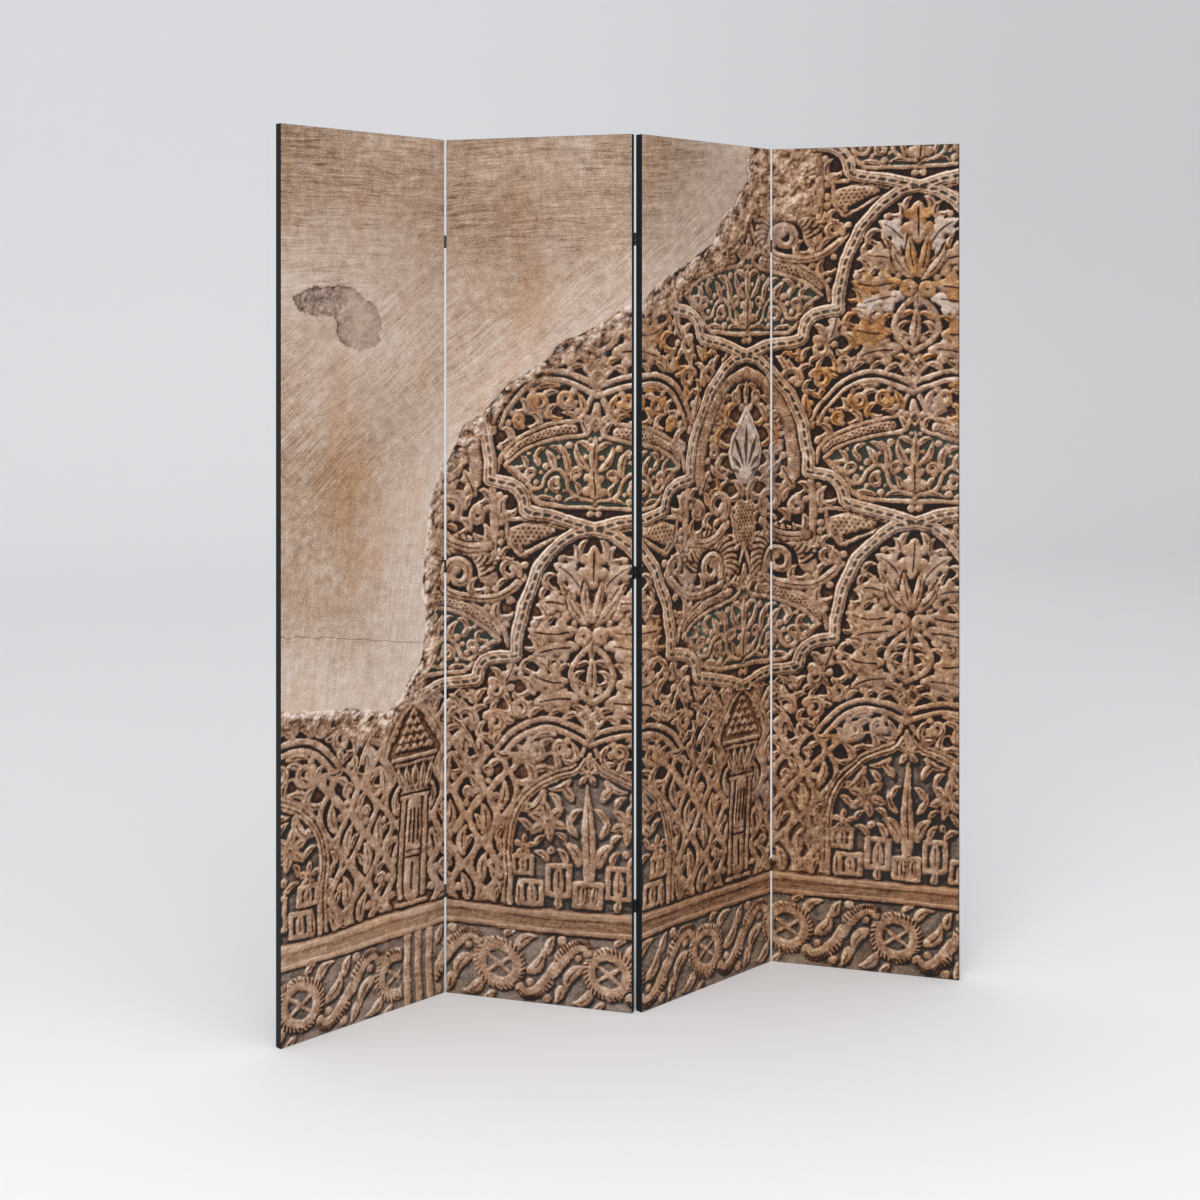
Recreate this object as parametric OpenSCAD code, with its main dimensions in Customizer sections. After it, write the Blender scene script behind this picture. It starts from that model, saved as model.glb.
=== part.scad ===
// Four-panel folding screen: printed canvas stretched over dowelled wooden
// frames, hinged edge to edge so that it stands in a zigzag.
//
// The screen stands on z = 0, its fronts face -Y and panel 1 is at -X.
// In a panel's own frame x runs along its width, y from its printed face to
// its back, and z up. Joints 1 and 3 hinge at the fronts, joint 2 at the backs.

/* [Screen] */
// Height of every panel
panel_h = 1760; // [1300:10:2100]
// Width of every panel
panel_w = 397; // [320:1:600]
// Angle folded at every joint, where 0 is the screen opened flat
fold = 60; // [20:1:110]
// Gap between the edges of two panels when they lie flat
edge_gap = 3; // [2.8:0.1:5]
// How far a hinge's axis stands proud of the panel's face
axis_proud = 0.9; // [0.8:0.1:1.4]

/* [Frame] */
// Thickness of every bar, front to back
bar_t = 16.4; // [15:0.2:24]
// Width of the upright stiles
stile_w = 40; // [38:1:60]
// Height of the top and bottom rails
rail_h = 45; // [36:1:60]
// Height of the two cross rails
cross_h = 32; // [28:1:50]
// Diameter of the dowels
dowel_d = 8; // [6:0.5:9]
// Length of the dowels
dowel_l = 40; // [24:1:44]

/* [Cloth] */
// Thickness of the printed canvas
canvas_t = 0.45; // [0.3:0.05:0.8]
// Width of canvas turned in over the back of the frame
return_w = 25; // [20:1:34]
// Thickness of the cloth over the back
cloth_t = 0.4; // [0.3:0.05:0.6]
// Black border left between the back cloth and the panel's edge
cloth_inset = 9; // [4:1:12]

/* [Staples] */
// Width of a staple's crown
staple_w = 10; // [6:0.5:13]
// Reach of a staple's legs below its crown
staple_leg = 6; // [4:0.5:8]
// Thickness of the staple wire
staple_wire = 0.6; // [0.4:0.1:0.9]
// How far a crown stands above the cloth it is pressed into
staple_proud = 0.25; // [0.1:0.05:0.3]
// Distance from the panel's edge to the row of staples
staple_row = 16; // [14:0.5:18]
// Largest distance from one staple to the next
staple_pitch = 120; // [60:5:200]

/* [Hinges] */
// Height of a hinge
hinge_h = 26; // [20:1:40]
// Distance from a panel's end to the middle of its outer hinge
hinge_inset = 210; // [120:5:300]
// Bare strip of the panel's edge between a leaf and the panel's other face
leaf_margin = 3.6; // [2:0.1:5]
// Thickness of a leaf
leaf_t = 0.65; // [0.5:0.05:0.7]
// Diameter of a hinge pin
pin_d = 1.5; // [1.2:0.1:1.6]
// Diameter of a pin's riveted head
pin_head_d = 2.3; // [2:0.1:2.7]
// Gap between two knuckles
knuckle_gap = 0.2; // [0.1:0.05:0.5]

/* [Screws] */
// Diameter of the hinge screws
screw_d = 2.5; // [2:0.1:3]
// Length of the hinge screws
screw_l = 14; // [8:1:20]
// Diameter of a screw's countersunk head
screw_head_d = 4.4; // [4:0.1:5]
// Distance between a leaf's two screws
screw_pitch = 14; // [10:0.5:16]

/* [Hidden] */
$fn = 48;
cut = 1;             // how far a cutting solid runs past the face that it opens
pin_play = 0.05;     // radial clearance of a pin in its knuckles
pilot_play = 0.05;   // radial clearance of a screw in its pilot hole
dowel_play = 0.05;   // radial clearance of a dowel in its hole
dowel_spare = 1;     // empty depth past a dowel's end
sweep_gap = 0.2;     // clearance where a knuckle turns past the other leaf
pin_head_h = 0.5;    // height of a pin's riveted head
knuckles = 5;        // knuckles in a hinge, taken in turn by its two leaves
slot_t = 0.6;        // width of the cross recess in a screw's head
slot_d = 0.5;        // depth of the cross recess
tip_l = 3;           // length of a screw's point
head_h = (screw_head_d - screw_d) / 2;

panels = 4;
lean = fold / 2;
body_t = bar_t + 2 * canvas_t;
frame_w = panel_w - 2 * canvas_t;
frame_h = panel_h - 2 * canvas_t;
rail_w = frame_w - 2 * stile_w;
knuckle_r = edge_gap / 2;
knuckle_h = (hinge_h - (knuckles - 1) * knuckle_gap) / knuckles;
leaf_d = axis_proud + body_t - leaf_margin;
screw_y = axis_proud + body_t / 2;   // from the hinge's axis to the middle of the panel's edge
hinge_z = [hinge_inset, panel_h / 2, panel_h - hinge_inset];

// Every rail as [height of its lower edge, height of the rail]
cross_space = (frame_h - 2 * rail_h - 2 * cross_h) / 3;
bottom = [canvas_t, rail_h];
lower = [canvas_t + rail_h + cross_space, cross_h];
upper = [lower[0] + cross_h + cross_space, cross_h];
top = [panel_h - canvas_t - rail_h, rail_h];
dowel_z = [for (r = [bottom, lower, upper, top], s = [-1, 1]) r[0] + r[1] / 2 + s * r[1] / 4];

function front_joint(j) = j % 2 == 1;
function turned(p, a) = [p[0] * cos(a) - p[1] * sin(a), p[0] * sin(a) + p[1] * cos(a)];

// Where joint j's axis lies in the frame of the panel at its left and at its right
function axis_y(j) = front_joint(j) ? -axis_proud : body_t + axis_proud;
function axis_at_right(j) = [panel_w + knuckle_r, axis_y(j)];
function axis_at_left(j) = [-knuckle_r, axis_y(j)];

// Each panel leans the other way from its neighbour
function panel_angle(i) = i % 2 == 1 ? lean : -lean;

// Origins of the panels, with joint 2's axis on x = 0 and the whole screen centred on y = 0
nearest_y = turned([panel_w, 0] - axis_at_right(2), panel_angle(2))[1];
furthest_y = turned([0, body_t] - axis_at_right(2), panel_angle(2))[1];
middle_axis = [0, -(nearest_y + furthest_y) / 2];
origin_2 = middle_axis - turned(axis_at_right(2), panel_angle(2));
origin_3 = middle_axis - turned(axis_at_left(2), panel_angle(3));
origin_1 = origin_2 + turned(axis_at_left(1), panel_angle(2)) - turned(axis_at_right(1), panel_angle(1));
origin_4 = origin_3 + turned(axis_at_right(3), panel_angle(3)) - turned(axis_at_left(3), panel_angle(4));
panel_origin = [origin_1, origin_2, origin_3, origin_4];

PANEL_PIECES = ["left_stile", "right_stile", "top_rail", "bottom_rail", "upper_cross_rail",
                "lower_cross_rail", "dowels", "printed_canvas", "back_cloth", "staples"];
JOINT_PIECES = ["hinge_leaves_left", "hinge_leaves_right", "hinge_pins",
                "hinge_screws_left", "hinge_screws_right"];

module in_panel(i) {
    translate(panel_origin[i - 1]) rotate(panel_angle(i)) children();
}

// Hinge side frames: the axis is on z, the panel lies at +x and its thickness at +y
module at_right_edge(j) {
    translate(axis_at_right(j)) mirror([1, 0, 0]) mirror([0, front_joint(j) ? 0 : 1, 0]) children();
}

module at_left_edge(j) {
    translate(axis_at_left(j)) mirror([0, front_joint(j) ? 0 : 1, 0]) children();
}

module at_hinges() {
    for (z = hinge_z) translate([0, 0, z]) children();
}

// One child for each screw of a leaf, pointing into the panel from the leaf's outer face
module at_screws() {
    at_hinges()
        for (s = [-1, 1])
            translate([knuckle_r - leaf_t, screw_y, s * screw_pitch / 2]) rotate([0, 90, 0]) children();
}

// The countersunk holes that the screws need, through leaf, canvas and stile alike
module screw_holes() {
    at_screws() {
        cylinder(d1 = screw_head_d + 2 * pilot_play, d2 = screw_d + 2 * pilot_play, h = head_h);
        cylinder(d = screw_d + 2 * pilot_play, h = screw_l + pilot_play);
    }
}

// Frame --------------------------------------------------------------------

module dowel_holes() {
    for (z = dowel_z, x = [canvas_t + stile_w, canvas_t + stile_w + rail_w])
        translate([x, body_t / 2, z]) rotate([0, 90, 0])
            cylinder(d = dowel_d + 2 * dowel_play, h = dowel_l + 2 * dowel_spare, center = true);
}

module stile(x) {
    color("burlywood") difference() {
        translate([x, canvas_t, canvas_t]) cube([stile_w, bar_t, frame_h]);
        dowel_holes();
        children();
    }
}

module left_stile(i) {
    stile(canvas_t) if (i > 1) at_left_edge(i - 1) screw_holes();
}

module right_stile(i) {
    stile(panel_w - canvas_t - stile_w) if (i < panels) at_right_edge(i) screw_holes();
}

module rail(r) {
    color("burlywood") difference() {
        translate([canvas_t + stile_w, canvas_t, r[0]]) cube([rail_w, bar_t, r[1]]);
        dowel_holes();
    }
}

module dowels() {
    color("tan")
        for (z = dowel_z, x = [canvas_t + stile_w, canvas_t + stile_w + rail_w])
            translate([x, body_t / 2, z]) rotate([0, 90, 0]) dowel();
}

module dowel() {
    chamfer = 1;
    cylinder(d = dowel_d, h = dowel_l - 2 * chamfer, center = true);
    for (s = [0, 1]) mirror([0, 0, s])
        translate([0, 0, dowel_l / 2 - chamfer]) cylinder(d1 = dowel_d, d2 = dowel_d - chamfer, h = chamfer);
}

// Cloth --------------------------------------------------------------------

module printed_canvas(i) {
    color("tan") difference() {
        cube([panel_w, body_t, panel_h]);
        translate([canvas_t, canvas_t, canvas_t]) cube([frame_w, bar_t, frame_h]);
        translate([canvas_t + return_w, bar_t, canvas_t + return_w])
            cube([frame_w - 2 * return_w, 2 * canvas_t + cut, frame_h - 2 * return_w]);
        if (i > 1) at_left_edge(i - 1) screw_holes();
        if (i < panels) at_right_edge(i) screw_holes();
    }
}

module back_cloth() {
    color("dimgray")
        translate([cloth_inset, body_t, cloth_inset])
            cube([panel_w - 2 * cloth_inset, cloth_t, panel_h - 2 * cloth_inset]);
}

// A staple's crown lies along x, its legs point to -y
module staple() {
    translate([-staple_w / 2, -staple_wire, -staple_wire / 2]) cube([staple_w, staple_wire, staple_wire]);
    for (s = [-1, 1])
        translate([s * (staple_w - staple_wire) / 2 - staple_wire / 2, -staple_leg - staple_wire, -staple_wire / 2])
            cube([staple_wire, staple_leg + staple_wire, staple_wire]);
}

// Places of the staples along an edge of length l, clear of the dowels at its ends
function along(l) =
    let (first = stile_w + dowel_l / 2 + staple_w, run = l - 2 * first, n = ceil(run / staple_pitch))
        [for (k = [0:n]) first + run * k / n];

module staples() {
    color("silver") translate([0, body_t + cloth_t + staple_proud, 0]) {
        for (x = [staple_row, panel_w - staple_row], z = along(panel_h))
            translate([x, 0, z]) rotate([0, 90, 0]) staple();
        for (z = [staple_row, panel_h - staple_row], x = along(panel_w))
            translate([x, 0, z]) staple();
    }
}

// Hinges -------------------------------------------------------------------

// Knuckles from the first one up, each second one belonging to this leaf
module knuckle_stack(first, r, grow) {
    for (k = [first:2:knuckles - 1])
        translate([0, 0, k * (knuckle_h + knuckle_gap) - hinge_h / 2 - grow])
            cylinder(r = r, h = knuckle_h + 2 * grow);
}

module leaf(first) {
    other = 1 - first;
    difference() {
        union() {
            knuckle_stack(first, knuckle_r, 0);
            translate([knuckle_r - leaf_t, 0, -hinge_h / 2]) cube([leaf_t, leaf_d, hinge_h]);
        }
        knuckle_stack(other, knuckle_r + sweep_gap, knuckle_gap);
        translate([0, 0, -hinge_h / 2 - cut]) cylinder(d = pin_d + 2 * pin_play, h = hinge_h + 2 * cut);
    }
}

module leaves(first) {
    color("dimgray") difference() {
        at_hinges() leaf(first);
        screw_holes();
    }
}

module screws() {
    color("dimgray") at_screws() difference() {
        union() {
            cylinder(d1 = screw_head_d, d2 = screw_d, h = head_h);
            cylinder(d = screw_d, h = screw_l - tip_l);
            translate([0, 0, screw_l - tip_l]) cylinder(d1 = screw_d, d2 = screw_d / 5, h = tip_l);
        }
        for (a = [45, 135])
            rotate(a) translate([-screw_d / 2, -slot_t / 2, -cut]) cube([screw_d, slot_t, slot_d + cut]);
    }
}

module pins() {
    color("dimgray") at_hinges() {
        cylinder(d = pin_d, h = hinge_h + 2 * pin_head_h, center = true);
        for (s = [0, 1]) mirror([0, 0, s])
            translate([0, 0, hinge_h / 2]) cylinder(d1 = pin_head_d, d2 = pin_d, h = pin_head_h);
    }
}

// Nodes --------------------------------------------------------------------

module panel_piece(i, piece) {
    if (piece == "left_stile") left_stile(i);
    if (piece == "right_stile") right_stile(i);
    if (piece == "top_rail") rail(top);
    if (piece == "bottom_rail") rail(bottom);
    if (piece == "upper_cross_rail") rail(upper);
    if (piece == "lower_cross_rail") rail(lower);
    if (piece == "dowels") dowels();
    if (piece == "printed_canvas") printed_canvas(i);
    if (piece == "back_cloth") back_cloth();
    if (piece == "staples") staples();
}

module joint_piece(j, piece) {
    if (piece == "hinge_leaves_left") in_panel(j) at_right_edge(j) leaves(0);
    if (piece == "hinge_leaves_right") in_panel(j + 1) at_left_edge(j) leaves(1);
    if (piece == "hinge_pins") in_panel(j) at_right_edge(j) pins();
    if (piece == "hinge_screws_left") in_panel(j) at_right_edge(j) screws();
    if (piece == "hinge_screws_right") in_panel(j + 1) at_left_edge(j) screws();
}

for (i = [1:panels], piece = PANEL_PIECES)
    in_panel(i) panel_piece(i, piece);

for (j = [1:panels - 1], piece = JOINT_PIECES)
    joint_piece(j, piece);
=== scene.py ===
"""Looks of the four-panel folding screen: canvas printed with a carved stucco wall, over timber frames."""

import math

import bmesh
import bpy
import numpy as np
from mathutils import Matrix, Vector


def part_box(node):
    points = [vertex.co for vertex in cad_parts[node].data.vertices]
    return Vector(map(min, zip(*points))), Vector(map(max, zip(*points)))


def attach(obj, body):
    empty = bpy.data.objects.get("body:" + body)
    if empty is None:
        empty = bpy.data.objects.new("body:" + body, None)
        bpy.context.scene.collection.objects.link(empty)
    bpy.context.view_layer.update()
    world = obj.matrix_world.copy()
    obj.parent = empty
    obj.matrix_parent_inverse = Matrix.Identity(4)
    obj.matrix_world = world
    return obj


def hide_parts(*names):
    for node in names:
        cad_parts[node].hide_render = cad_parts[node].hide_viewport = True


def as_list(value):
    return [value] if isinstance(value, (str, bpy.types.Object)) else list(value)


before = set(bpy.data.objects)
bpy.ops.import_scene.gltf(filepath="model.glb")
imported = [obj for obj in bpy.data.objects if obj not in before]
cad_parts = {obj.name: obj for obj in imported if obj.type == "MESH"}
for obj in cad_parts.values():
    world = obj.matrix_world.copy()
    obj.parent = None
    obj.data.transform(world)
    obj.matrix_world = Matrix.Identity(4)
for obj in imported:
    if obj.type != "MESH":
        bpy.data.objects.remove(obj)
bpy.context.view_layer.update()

PANELS = 4
MM = 0.001


def coordinates(mesh):
    points = np.zeros(len(mesh.vertices) * 3)
    mesh.vertices.foreach_get("co", points)
    return points.reshape(-1, 3)


class Panel:
    """Where one panel stands: across, back and up are its own directions, from its lower left front corner."""

    def __init__(self, number):
        self.number = number
        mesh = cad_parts[f"panel_{number}_printed_canvas"].data
        points = coordinates(mesh)
        plan = points[:, :2]
        across = self.way_across(mesh, points)
        back = np.array([-across[1], across[0]])
        self.width = np.ptp(plan @ across) / MM
        self.depth = np.ptp(plan @ back) / MM
        self.height = np.ptp(points[:, 2]) / MM
        corner = across * (plan @ across).min() + back * (plan @ back).min()
        self.place = Matrix(((across[0] * MM, back[0] * MM, 0, corner[0]),
                             (across[1] * MM, back[1] * MM, 0, corner[1]),
                             (0, 0, MM, points[:, 2].min()), (0, 0, 0, 1)))
        self.turn = round(math.degrees(math.atan2(across[1], across[0])))

    @staticmethod
    def way_across(mesh, points):
        """The direction of the panel's level edges, to the right: the panel is thinnest square to it."""
        ends = np.zeros(len(mesh.edges) * 2, np.int32)
        mesh.edges.foreach_get("vertices", ends)
        sides = np.diff(points[ends].reshape(-1, 2, 3), axis=1)[:, 0]
        run = np.hypot(sides[:, 0], sides[:, 1])
        level = (np.abs(sides[:, 2]) < 1e-6) & (run > 0.9 * run.max())
        ways = np.unique((sides[level, :2] / run[level, None]).round(6), axis=0)
        depths = [np.ptp(points[:, :2] @ (-way[1], way[0])) for way in ways]
        across = ways[int(np.argmin(depths))]
        return across / np.hypot(*across) * np.sign(across[0])


panels = [Panel(k + 1) for k in range(PANELS)]
print_w, print_h = panels[0].width, panels[0].height

# ---------------------------------------------------------------- the wall that the canvas shows
# Everything on the printed wall is in millimetres: x runs along the four panels laid flat, z is height.

WALL_GRID = 1.5           # spacing of the samples in which the wall is worked out
FRIEZE_TOP = 146.0        # top of the frieze, where the moulding begins
BASE_Z = 198.0            # top of the moulding under the carved field
FRIEZE_REPEAT = 236.0     # from one roundel of the frieze to the next
FRIEZE_X = 42.0           # centre of the first roundel
COLUMN = 387.5            # from one column of arches to the next
TIER = 352.5              # every other column stands this much higher
NICHE_X = 707.0           # centre line of the first whole niche
CROSSING_Z = 965.0        # where the arches over the first niche cross
LEAN = 0.02               # the whole net leans to the right by this much as it rises
BAND = 15.5               # half the width of the interlaced band
FAR = 40.0                # distance that stands for "nothing near"
LIGHT = np.array([-0.42, 0.62, 0.66]) / math.sqrt(0.42 ** 2 + 0.62 ** 2 + 0.66 ** 2)  # left, above, in front
OCHRE, PALE = 1.0, -1.0   # the two washes of colour left on some leaves


class Carving:
    """Distances to carved strokes on a sheet of samples: negative inside a stroke."""

    step = 1.0            # from one sample to the next

    def __init__(self, low, high):
        self.low = np.array(low, float)
        across, up = (int(round((h - l) / self.step)) + 1 for l, h in zip(low, high))
        self.u, self.v = np.meshgrid(low[0] + np.arange(across) * self.step, low[1] + np.arange(up) * self.step)
        self.raised = np.full(self.u.shape, FAR)
        self.groove = np.full(self.u.shape, FAR)
        self.sunk = np.full(self.u.shape, FAR)
        self.blocked = np.full(self.u.shape, FAR)
        self.tint = np.zeros(self.u.shape)
        self.shallow = np.zeros(self.u.shape)

    def window(self, path, margin):
        low = np.floor((path.min(0) - margin - self.low) / self.step).astype(int)
        high = np.ceil((path.max(0) + margin - self.low) / self.step).astype(int) + 1
        rows, columns = self.u.shape
        return (slice(min(max(low[1], 0), rows), min(max(high[1], 0), rows)),
                slice(min(max(low[0], 0), columns), min(max(high[0], 0), columns)))

    def distance(self, path, radii, margin):
        """The window round a stroke, and the distance of its samples to the stroke's edge."""
        path = np.asarray(path, float)
        radii = np.broadcast_to(np.asarray(radii, float), len(path))
        where = self.window(path, radii.max() + margin)
        gap = np.full(self.u[where].shape, 1e4)
        u, v = self.u[where], self.v[where]
        for a, b, ra, rb in zip(path[:-1], path[1:], radii[:-1], radii[1:]):
            along = b - a
            t = np.clip(((u - a[0]) * along[0] + (v - a[1]) * along[1]) / max(along @ along, 1e-9), 0, 1)
            reach = np.hypot(u - a[0] - t * along[0], v - a[1] - t * along[1])
            gap = np.minimum(gap, reach - (ra + t * (rb - ra)))
        return where, gap

    def stroke(self, path, radii, over=0.0, tint=None):
        """A raised stroke. One that passes over others clears a ditch of that width beside itself."""
        where, d = self.distance(path, radii, 10)
        if over:
            ditch = np.maximum(self.raised[where], over - d)
            self.raised[where] = np.where(d < over, ditch, self.raised[where])
            self.groove[where] = np.where(d < over, FAR, self.groove[where])
            self.tint[where] = np.where(d < over, 0, self.tint[where])
        self.raised[where] = np.minimum(self.raised[where], d)
        if tint is not None:
            self.tint[where] = np.where(d < 1, tint, self.tint[where])

    def cut(self, path, radii):
        where, d = self.distance(path, radii, 8)
        self.groove[where] = np.minimum(self.groove[where], d)

    def dot(self, at, radius, hole=0.0, tint=None):
        path = [at, (at[0] + 0.01, at[1])]
        self.stroke(path, radius, tint=tint)
        if hole:
            self.cut(path, hole)

    def sink(self, inside):
        """Lowers the ground where the distance to an outline is negative."""
        self.sunk = np.minimum(self.sunk, inside)

    def empty(self, inside):
        """Clears the carving where a mask is true."""
        self.raised = np.where(inside, FAR * 0.2, self.raised)
        self.groove = np.where(inside, FAR, self.groove)
        self.tint = np.where(inside, 0, self.tint)


def bezier(p0, p1, p2, p3, n=14):
    t = np.linspace(0, 1, n)[:, None]
    return ((1 - t) ** 3 * np.array(p0) + 3 * (1 - t) ** 2 * t * np.array(p1)
            + 3 * (1 - t) * t ** 2 * np.array(p2) + t ** 3 * np.array(p3))


def eased_through(points, n=6):
    """A smooth path through points, with n steps between each two."""
    p = np.array(points, float)
    p = np.concatenate([[2 * p[0] - p[1]], p, [2 * p[-1] - p[-2]]])
    t = np.arange(n)[:, None] / n
    parts = [0.5 * (2 * b + (c - a) * t + (2 * a - 5 * b + 4 * c - d) * t ** 2 + (3 * b - a - 3 * c + d) * t ** 3)
             for a, b, c, d in zip(p[:-3], p[1:-2], p[2:-1], p[3:])]
    return np.concatenate(parts + [p[-2:-1]])


def beside(path, off):
    """The same path moved sideways, to its left where off is positive."""
    along = np.gradient(path, axis=0)
    along /= np.maximum(np.hypot(*along.T), 1e-9)[:, None]
    return path + off * np.stack([-along[:, 1], along[:, 0]], 1)


def spiral(centre, r_out, r_in, start, turns, n=32):
    t = np.linspace(0, 1, n)
    angle = math.radians(start) + t * turns * 2 * math.pi
    r = r_out + (r_in - r_out) * t ** 0.8
    return np.stack([centre[0] + r * np.cos(angle), centre[1] + r * np.sin(angle)], 1)


def polar(centre, r, degrees):
    a = math.radians(degrees)
    return np.array([centre[0] + r * math.cos(a), centre[1] + r * math.sin(a)])


def each(tool, c, rows):
    """Uses one tool at several places: a row holds what it is told after the carving."""
    for row in rows:
        tool(c, *row)


def leaf(c, base, tip, width, bend=0.0, tint=None, over=0.0, n=10):
    base, tip = np.array(base, float), np.array(tip, float)
    along = tip - base
    side = np.array([-along[1], along[0]])
    mid = (base + tip) / 2 + side * bend
    path = bezier(base, base + along * 0.3 + side * bend, mid + along * 0.15 + side * bend * 0.4, tip, n)
    t = np.linspace(0, 1, n)
    radii = width * np.sin(np.pi * np.clip(t * 0.86 + 0.1, 0, 1)) ** 0.8 * (1 - 0.45 * t) + 0.8
    c.stroke(path, radii, over=over, tint=tint)
    c.cut(path[2:-2], 1.3)


def lobed_leaf(c, base, tip, width, bend=0.0, tint=None):
    """A leaf with two rounded lobes on each side and a pointed tip."""
    base, tip = np.array(base, float), np.array(tip, float)
    along = tip - base
    side = np.array([-along[1], along[0]]) / np.hypot(*along)
    path = bezier(base, base + along * 0.35 + side * bend * 0.9, tip - along * 0.3 + side * bend, tip, 9)
    c.stroke(path, width * np.array([0.22, 0.36, 0.46, 0.5, 0.46, 0.44, 0.38, 0.26, 0.08]), over=3.0, tint=tint)
    for k, reach, size in ((2, 0.52, 0.36), (5, 0.44, 0.30)):
        for hand in (1, -1):
            out = path[k] + side * hand * width * reach + along * 0.05
            c.stroke([path[k], out], [width * size * 0.8, width * size], tint=tint)
    c.cut(path[1:-1], 1.5)


def volute(c, centre, r, start, hand=1, width=6.0, turns=1.1, tint=None, over=0.0):
    """A stem rolled up into a knob."""
    path = spiral(centre, r - width, r * 0.30, start, turns * hand)
    t = np.linspace(0, 1, len(path))
    c.stroke(path, width * (1 - 0.30 * t), tint=tint, over=over)
    c.dot(path[-1], r * 0.20 + 2.4, tint=tint)
    c.cut(path[2:-10], 1.0)


def scroll(c, centre, r, start, hand, tint=None):
    """A volute with two leaflets that spring from its back."""
    width = r * 0.3
    volute(c, centre, r, start, hand, width, 1.0, tint)
    for a in (120, 220):
        base = polar(centre, r - width, start + hand * a)
        out = (base - np.array(centre)) / (r - width)
        turn = np.array([-out[1], out[0]]) * hand
        leaf(c, base, base + out * r * 0.50 + turn * r * 0.40, r * 0.22 + 1.4, 0.18 * hand, tint)


def split_leaf(c, centre, r, way, hand, tint=None):
    """A bold leaf that parts in two over a rolled knob."""
    root, fork = polar(centre, r, way + 180), polar(centre, r * 0.55, way + 180)
    leaf(c, root, polar(centre, r, way + 22 * hand), r * 0.50, 0.24 * hand, tint)
    leaf(c, fork, polar(centre, r, way - 74 * hand), r * 0.34, -0.26 * hand, tint)
    c.dot(polar(centre, r * 0.70, way + 180 + 48 * hand), r * 0.24, 1.8, tint)


def flower(c, centre, size, petals, turn):
    """Petals round a drilled eye."""
    for k in range(petals):
        a = turn + 360 / petals * k
        leaf(c, polar(centre, 9, a), polar(centre, size, a), size * 0.29, n=8)
    c.dot(centre, 8, 2.4)


def ribs(c, centre, near, far, start, sweep, count, width, bend):
    """A fan of ribs, like the gills of a shell: a raised strip with a cut between each two."""
    middle = [polar(centre, (near + far) / 2, start + sweep * k / 11) for k in range(12)]
    c.stroke(middle, (far - near) / 2)
    for k in range(count):
        a = start + sweep * k / (count - 1)
        path = bezier(polar(centre, near + 2, a), polar(centre, near + (far - near) * 0.4, a),
                      polar(centre, near + (far - near) * 0.7, a + bend * 0.5), polar(centre, far + 1, a + bend), 5)
        c.cut(path, np.linspace(width * 0.4, width * 0.7, 5))


def running_length(path):
    return np.concatenate([[0], np.cumsum(np.hypot(*np.diff(path, axis=0).T))])


def comb(c, path, near, far, pitch, width):
    """Ribs that stand on one side of a path."""
    run = running_length(path)
    close, away = beside(path, near), beside(path, far)
    c.stroke((close + away) / 2, (far - near) / 2)
    for s in np.arange(pitch / 2, run[-1], pitch):
        root = [np.interp(s, run, close[:, k]) for k in (0, 1)]
        end = [np.interp(min(s + pitch * 0.8, run[-1]), run, away[:, k]) for k in (0, 1)]
        c.cut([root, end], [width * 0.5, width * 0.8])


def pitted(c, path, radii, pitch):
    """A flat raised strip covered with small drilled holes in staggered rows."""
    path = np.asarray(path, float)
    where, d = c.distance(path, radii, 4)
    c.raised[where] = np.minimum(c.raised[where], d)
    u, v = c.u[where], c.v[where]
    row = np.round(v / (pitch * 0.8))
    du = (u + (row % 2) * pitch / 2 + pitch / 2) % pitch - pitch / 2
    hole = np.hypot(du, v - row * pitch * 0.8) - 2.3
    c.groove[where] = np.where(d < -1.5, np.minimum(c.groove[where], hole), c.groove[where])


def lozenges(c, places, size):
    for u, v in places:
        corners = [(u, v - size), (u + size * 0.85, v), (u, v + size), (u - size * 0.85, v), (u, v - size)]
        c.stroke(corners, size * 0.20 + 1.0, over=1.5)
        c.dot((u, v), size * 0.16 + 0.5)


def inside_of(c, outline):
    """Distance to an outline that is mirrored about u = 0, negative within it."""
    outline = np.array(outline, float)
    gap = np.full(c.u.shape, 1e4)
    for a, b in zip(outline[:-1], outline[1:]):
        along = b - a
        t = np.clip(((c.u - a[0]) * along[0] + (c.v - a[1]) * along[1]) / max(along @ along, 1e-9), 0, 1)
        gap = np.minimum(gap, np.hypot(c.u - a[0] - t * along[0], c.v - a[1] - t * along[1]))
    order = np.argsort(outline[:, 1], kind="stable")
    within = (np.abs(c.u) < np.interp(c.v, outline[order, 1], outline[order, 0], -1, -1))
    return np.where(within, -gap, gap)


# The outline of a bay, up from its lower crossing: a cartouche's foot, then the next column's arch.
BAND_HEIGHTS = [0, 8, 16, 23, 27, 31, 38, 50, 62, 74, 84, 88, 92, 128, 198, 268, 323, 345, TIER]
BAND_WIDTHS = [0, 26, 52, 88, 118, 138, 145, 146.5, 151, 160, 176, 195, 223,
               222.5, 237.5, 269.5, 317.5, 350, COLUMN]


def half_width(v):
    """Half the width of a bay at height v over its lower crossing."""
    v = np.asarray(v, float)
    lower = np.interp(v, BAND_HEIGHTS, BAND_WIDTHS)
    upper = COLUMN - np.interp(v - TIER, BAND_HEIGHTS, BAND_WIDTHS)
    return np.where(v < TIER, lower, upper)


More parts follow.
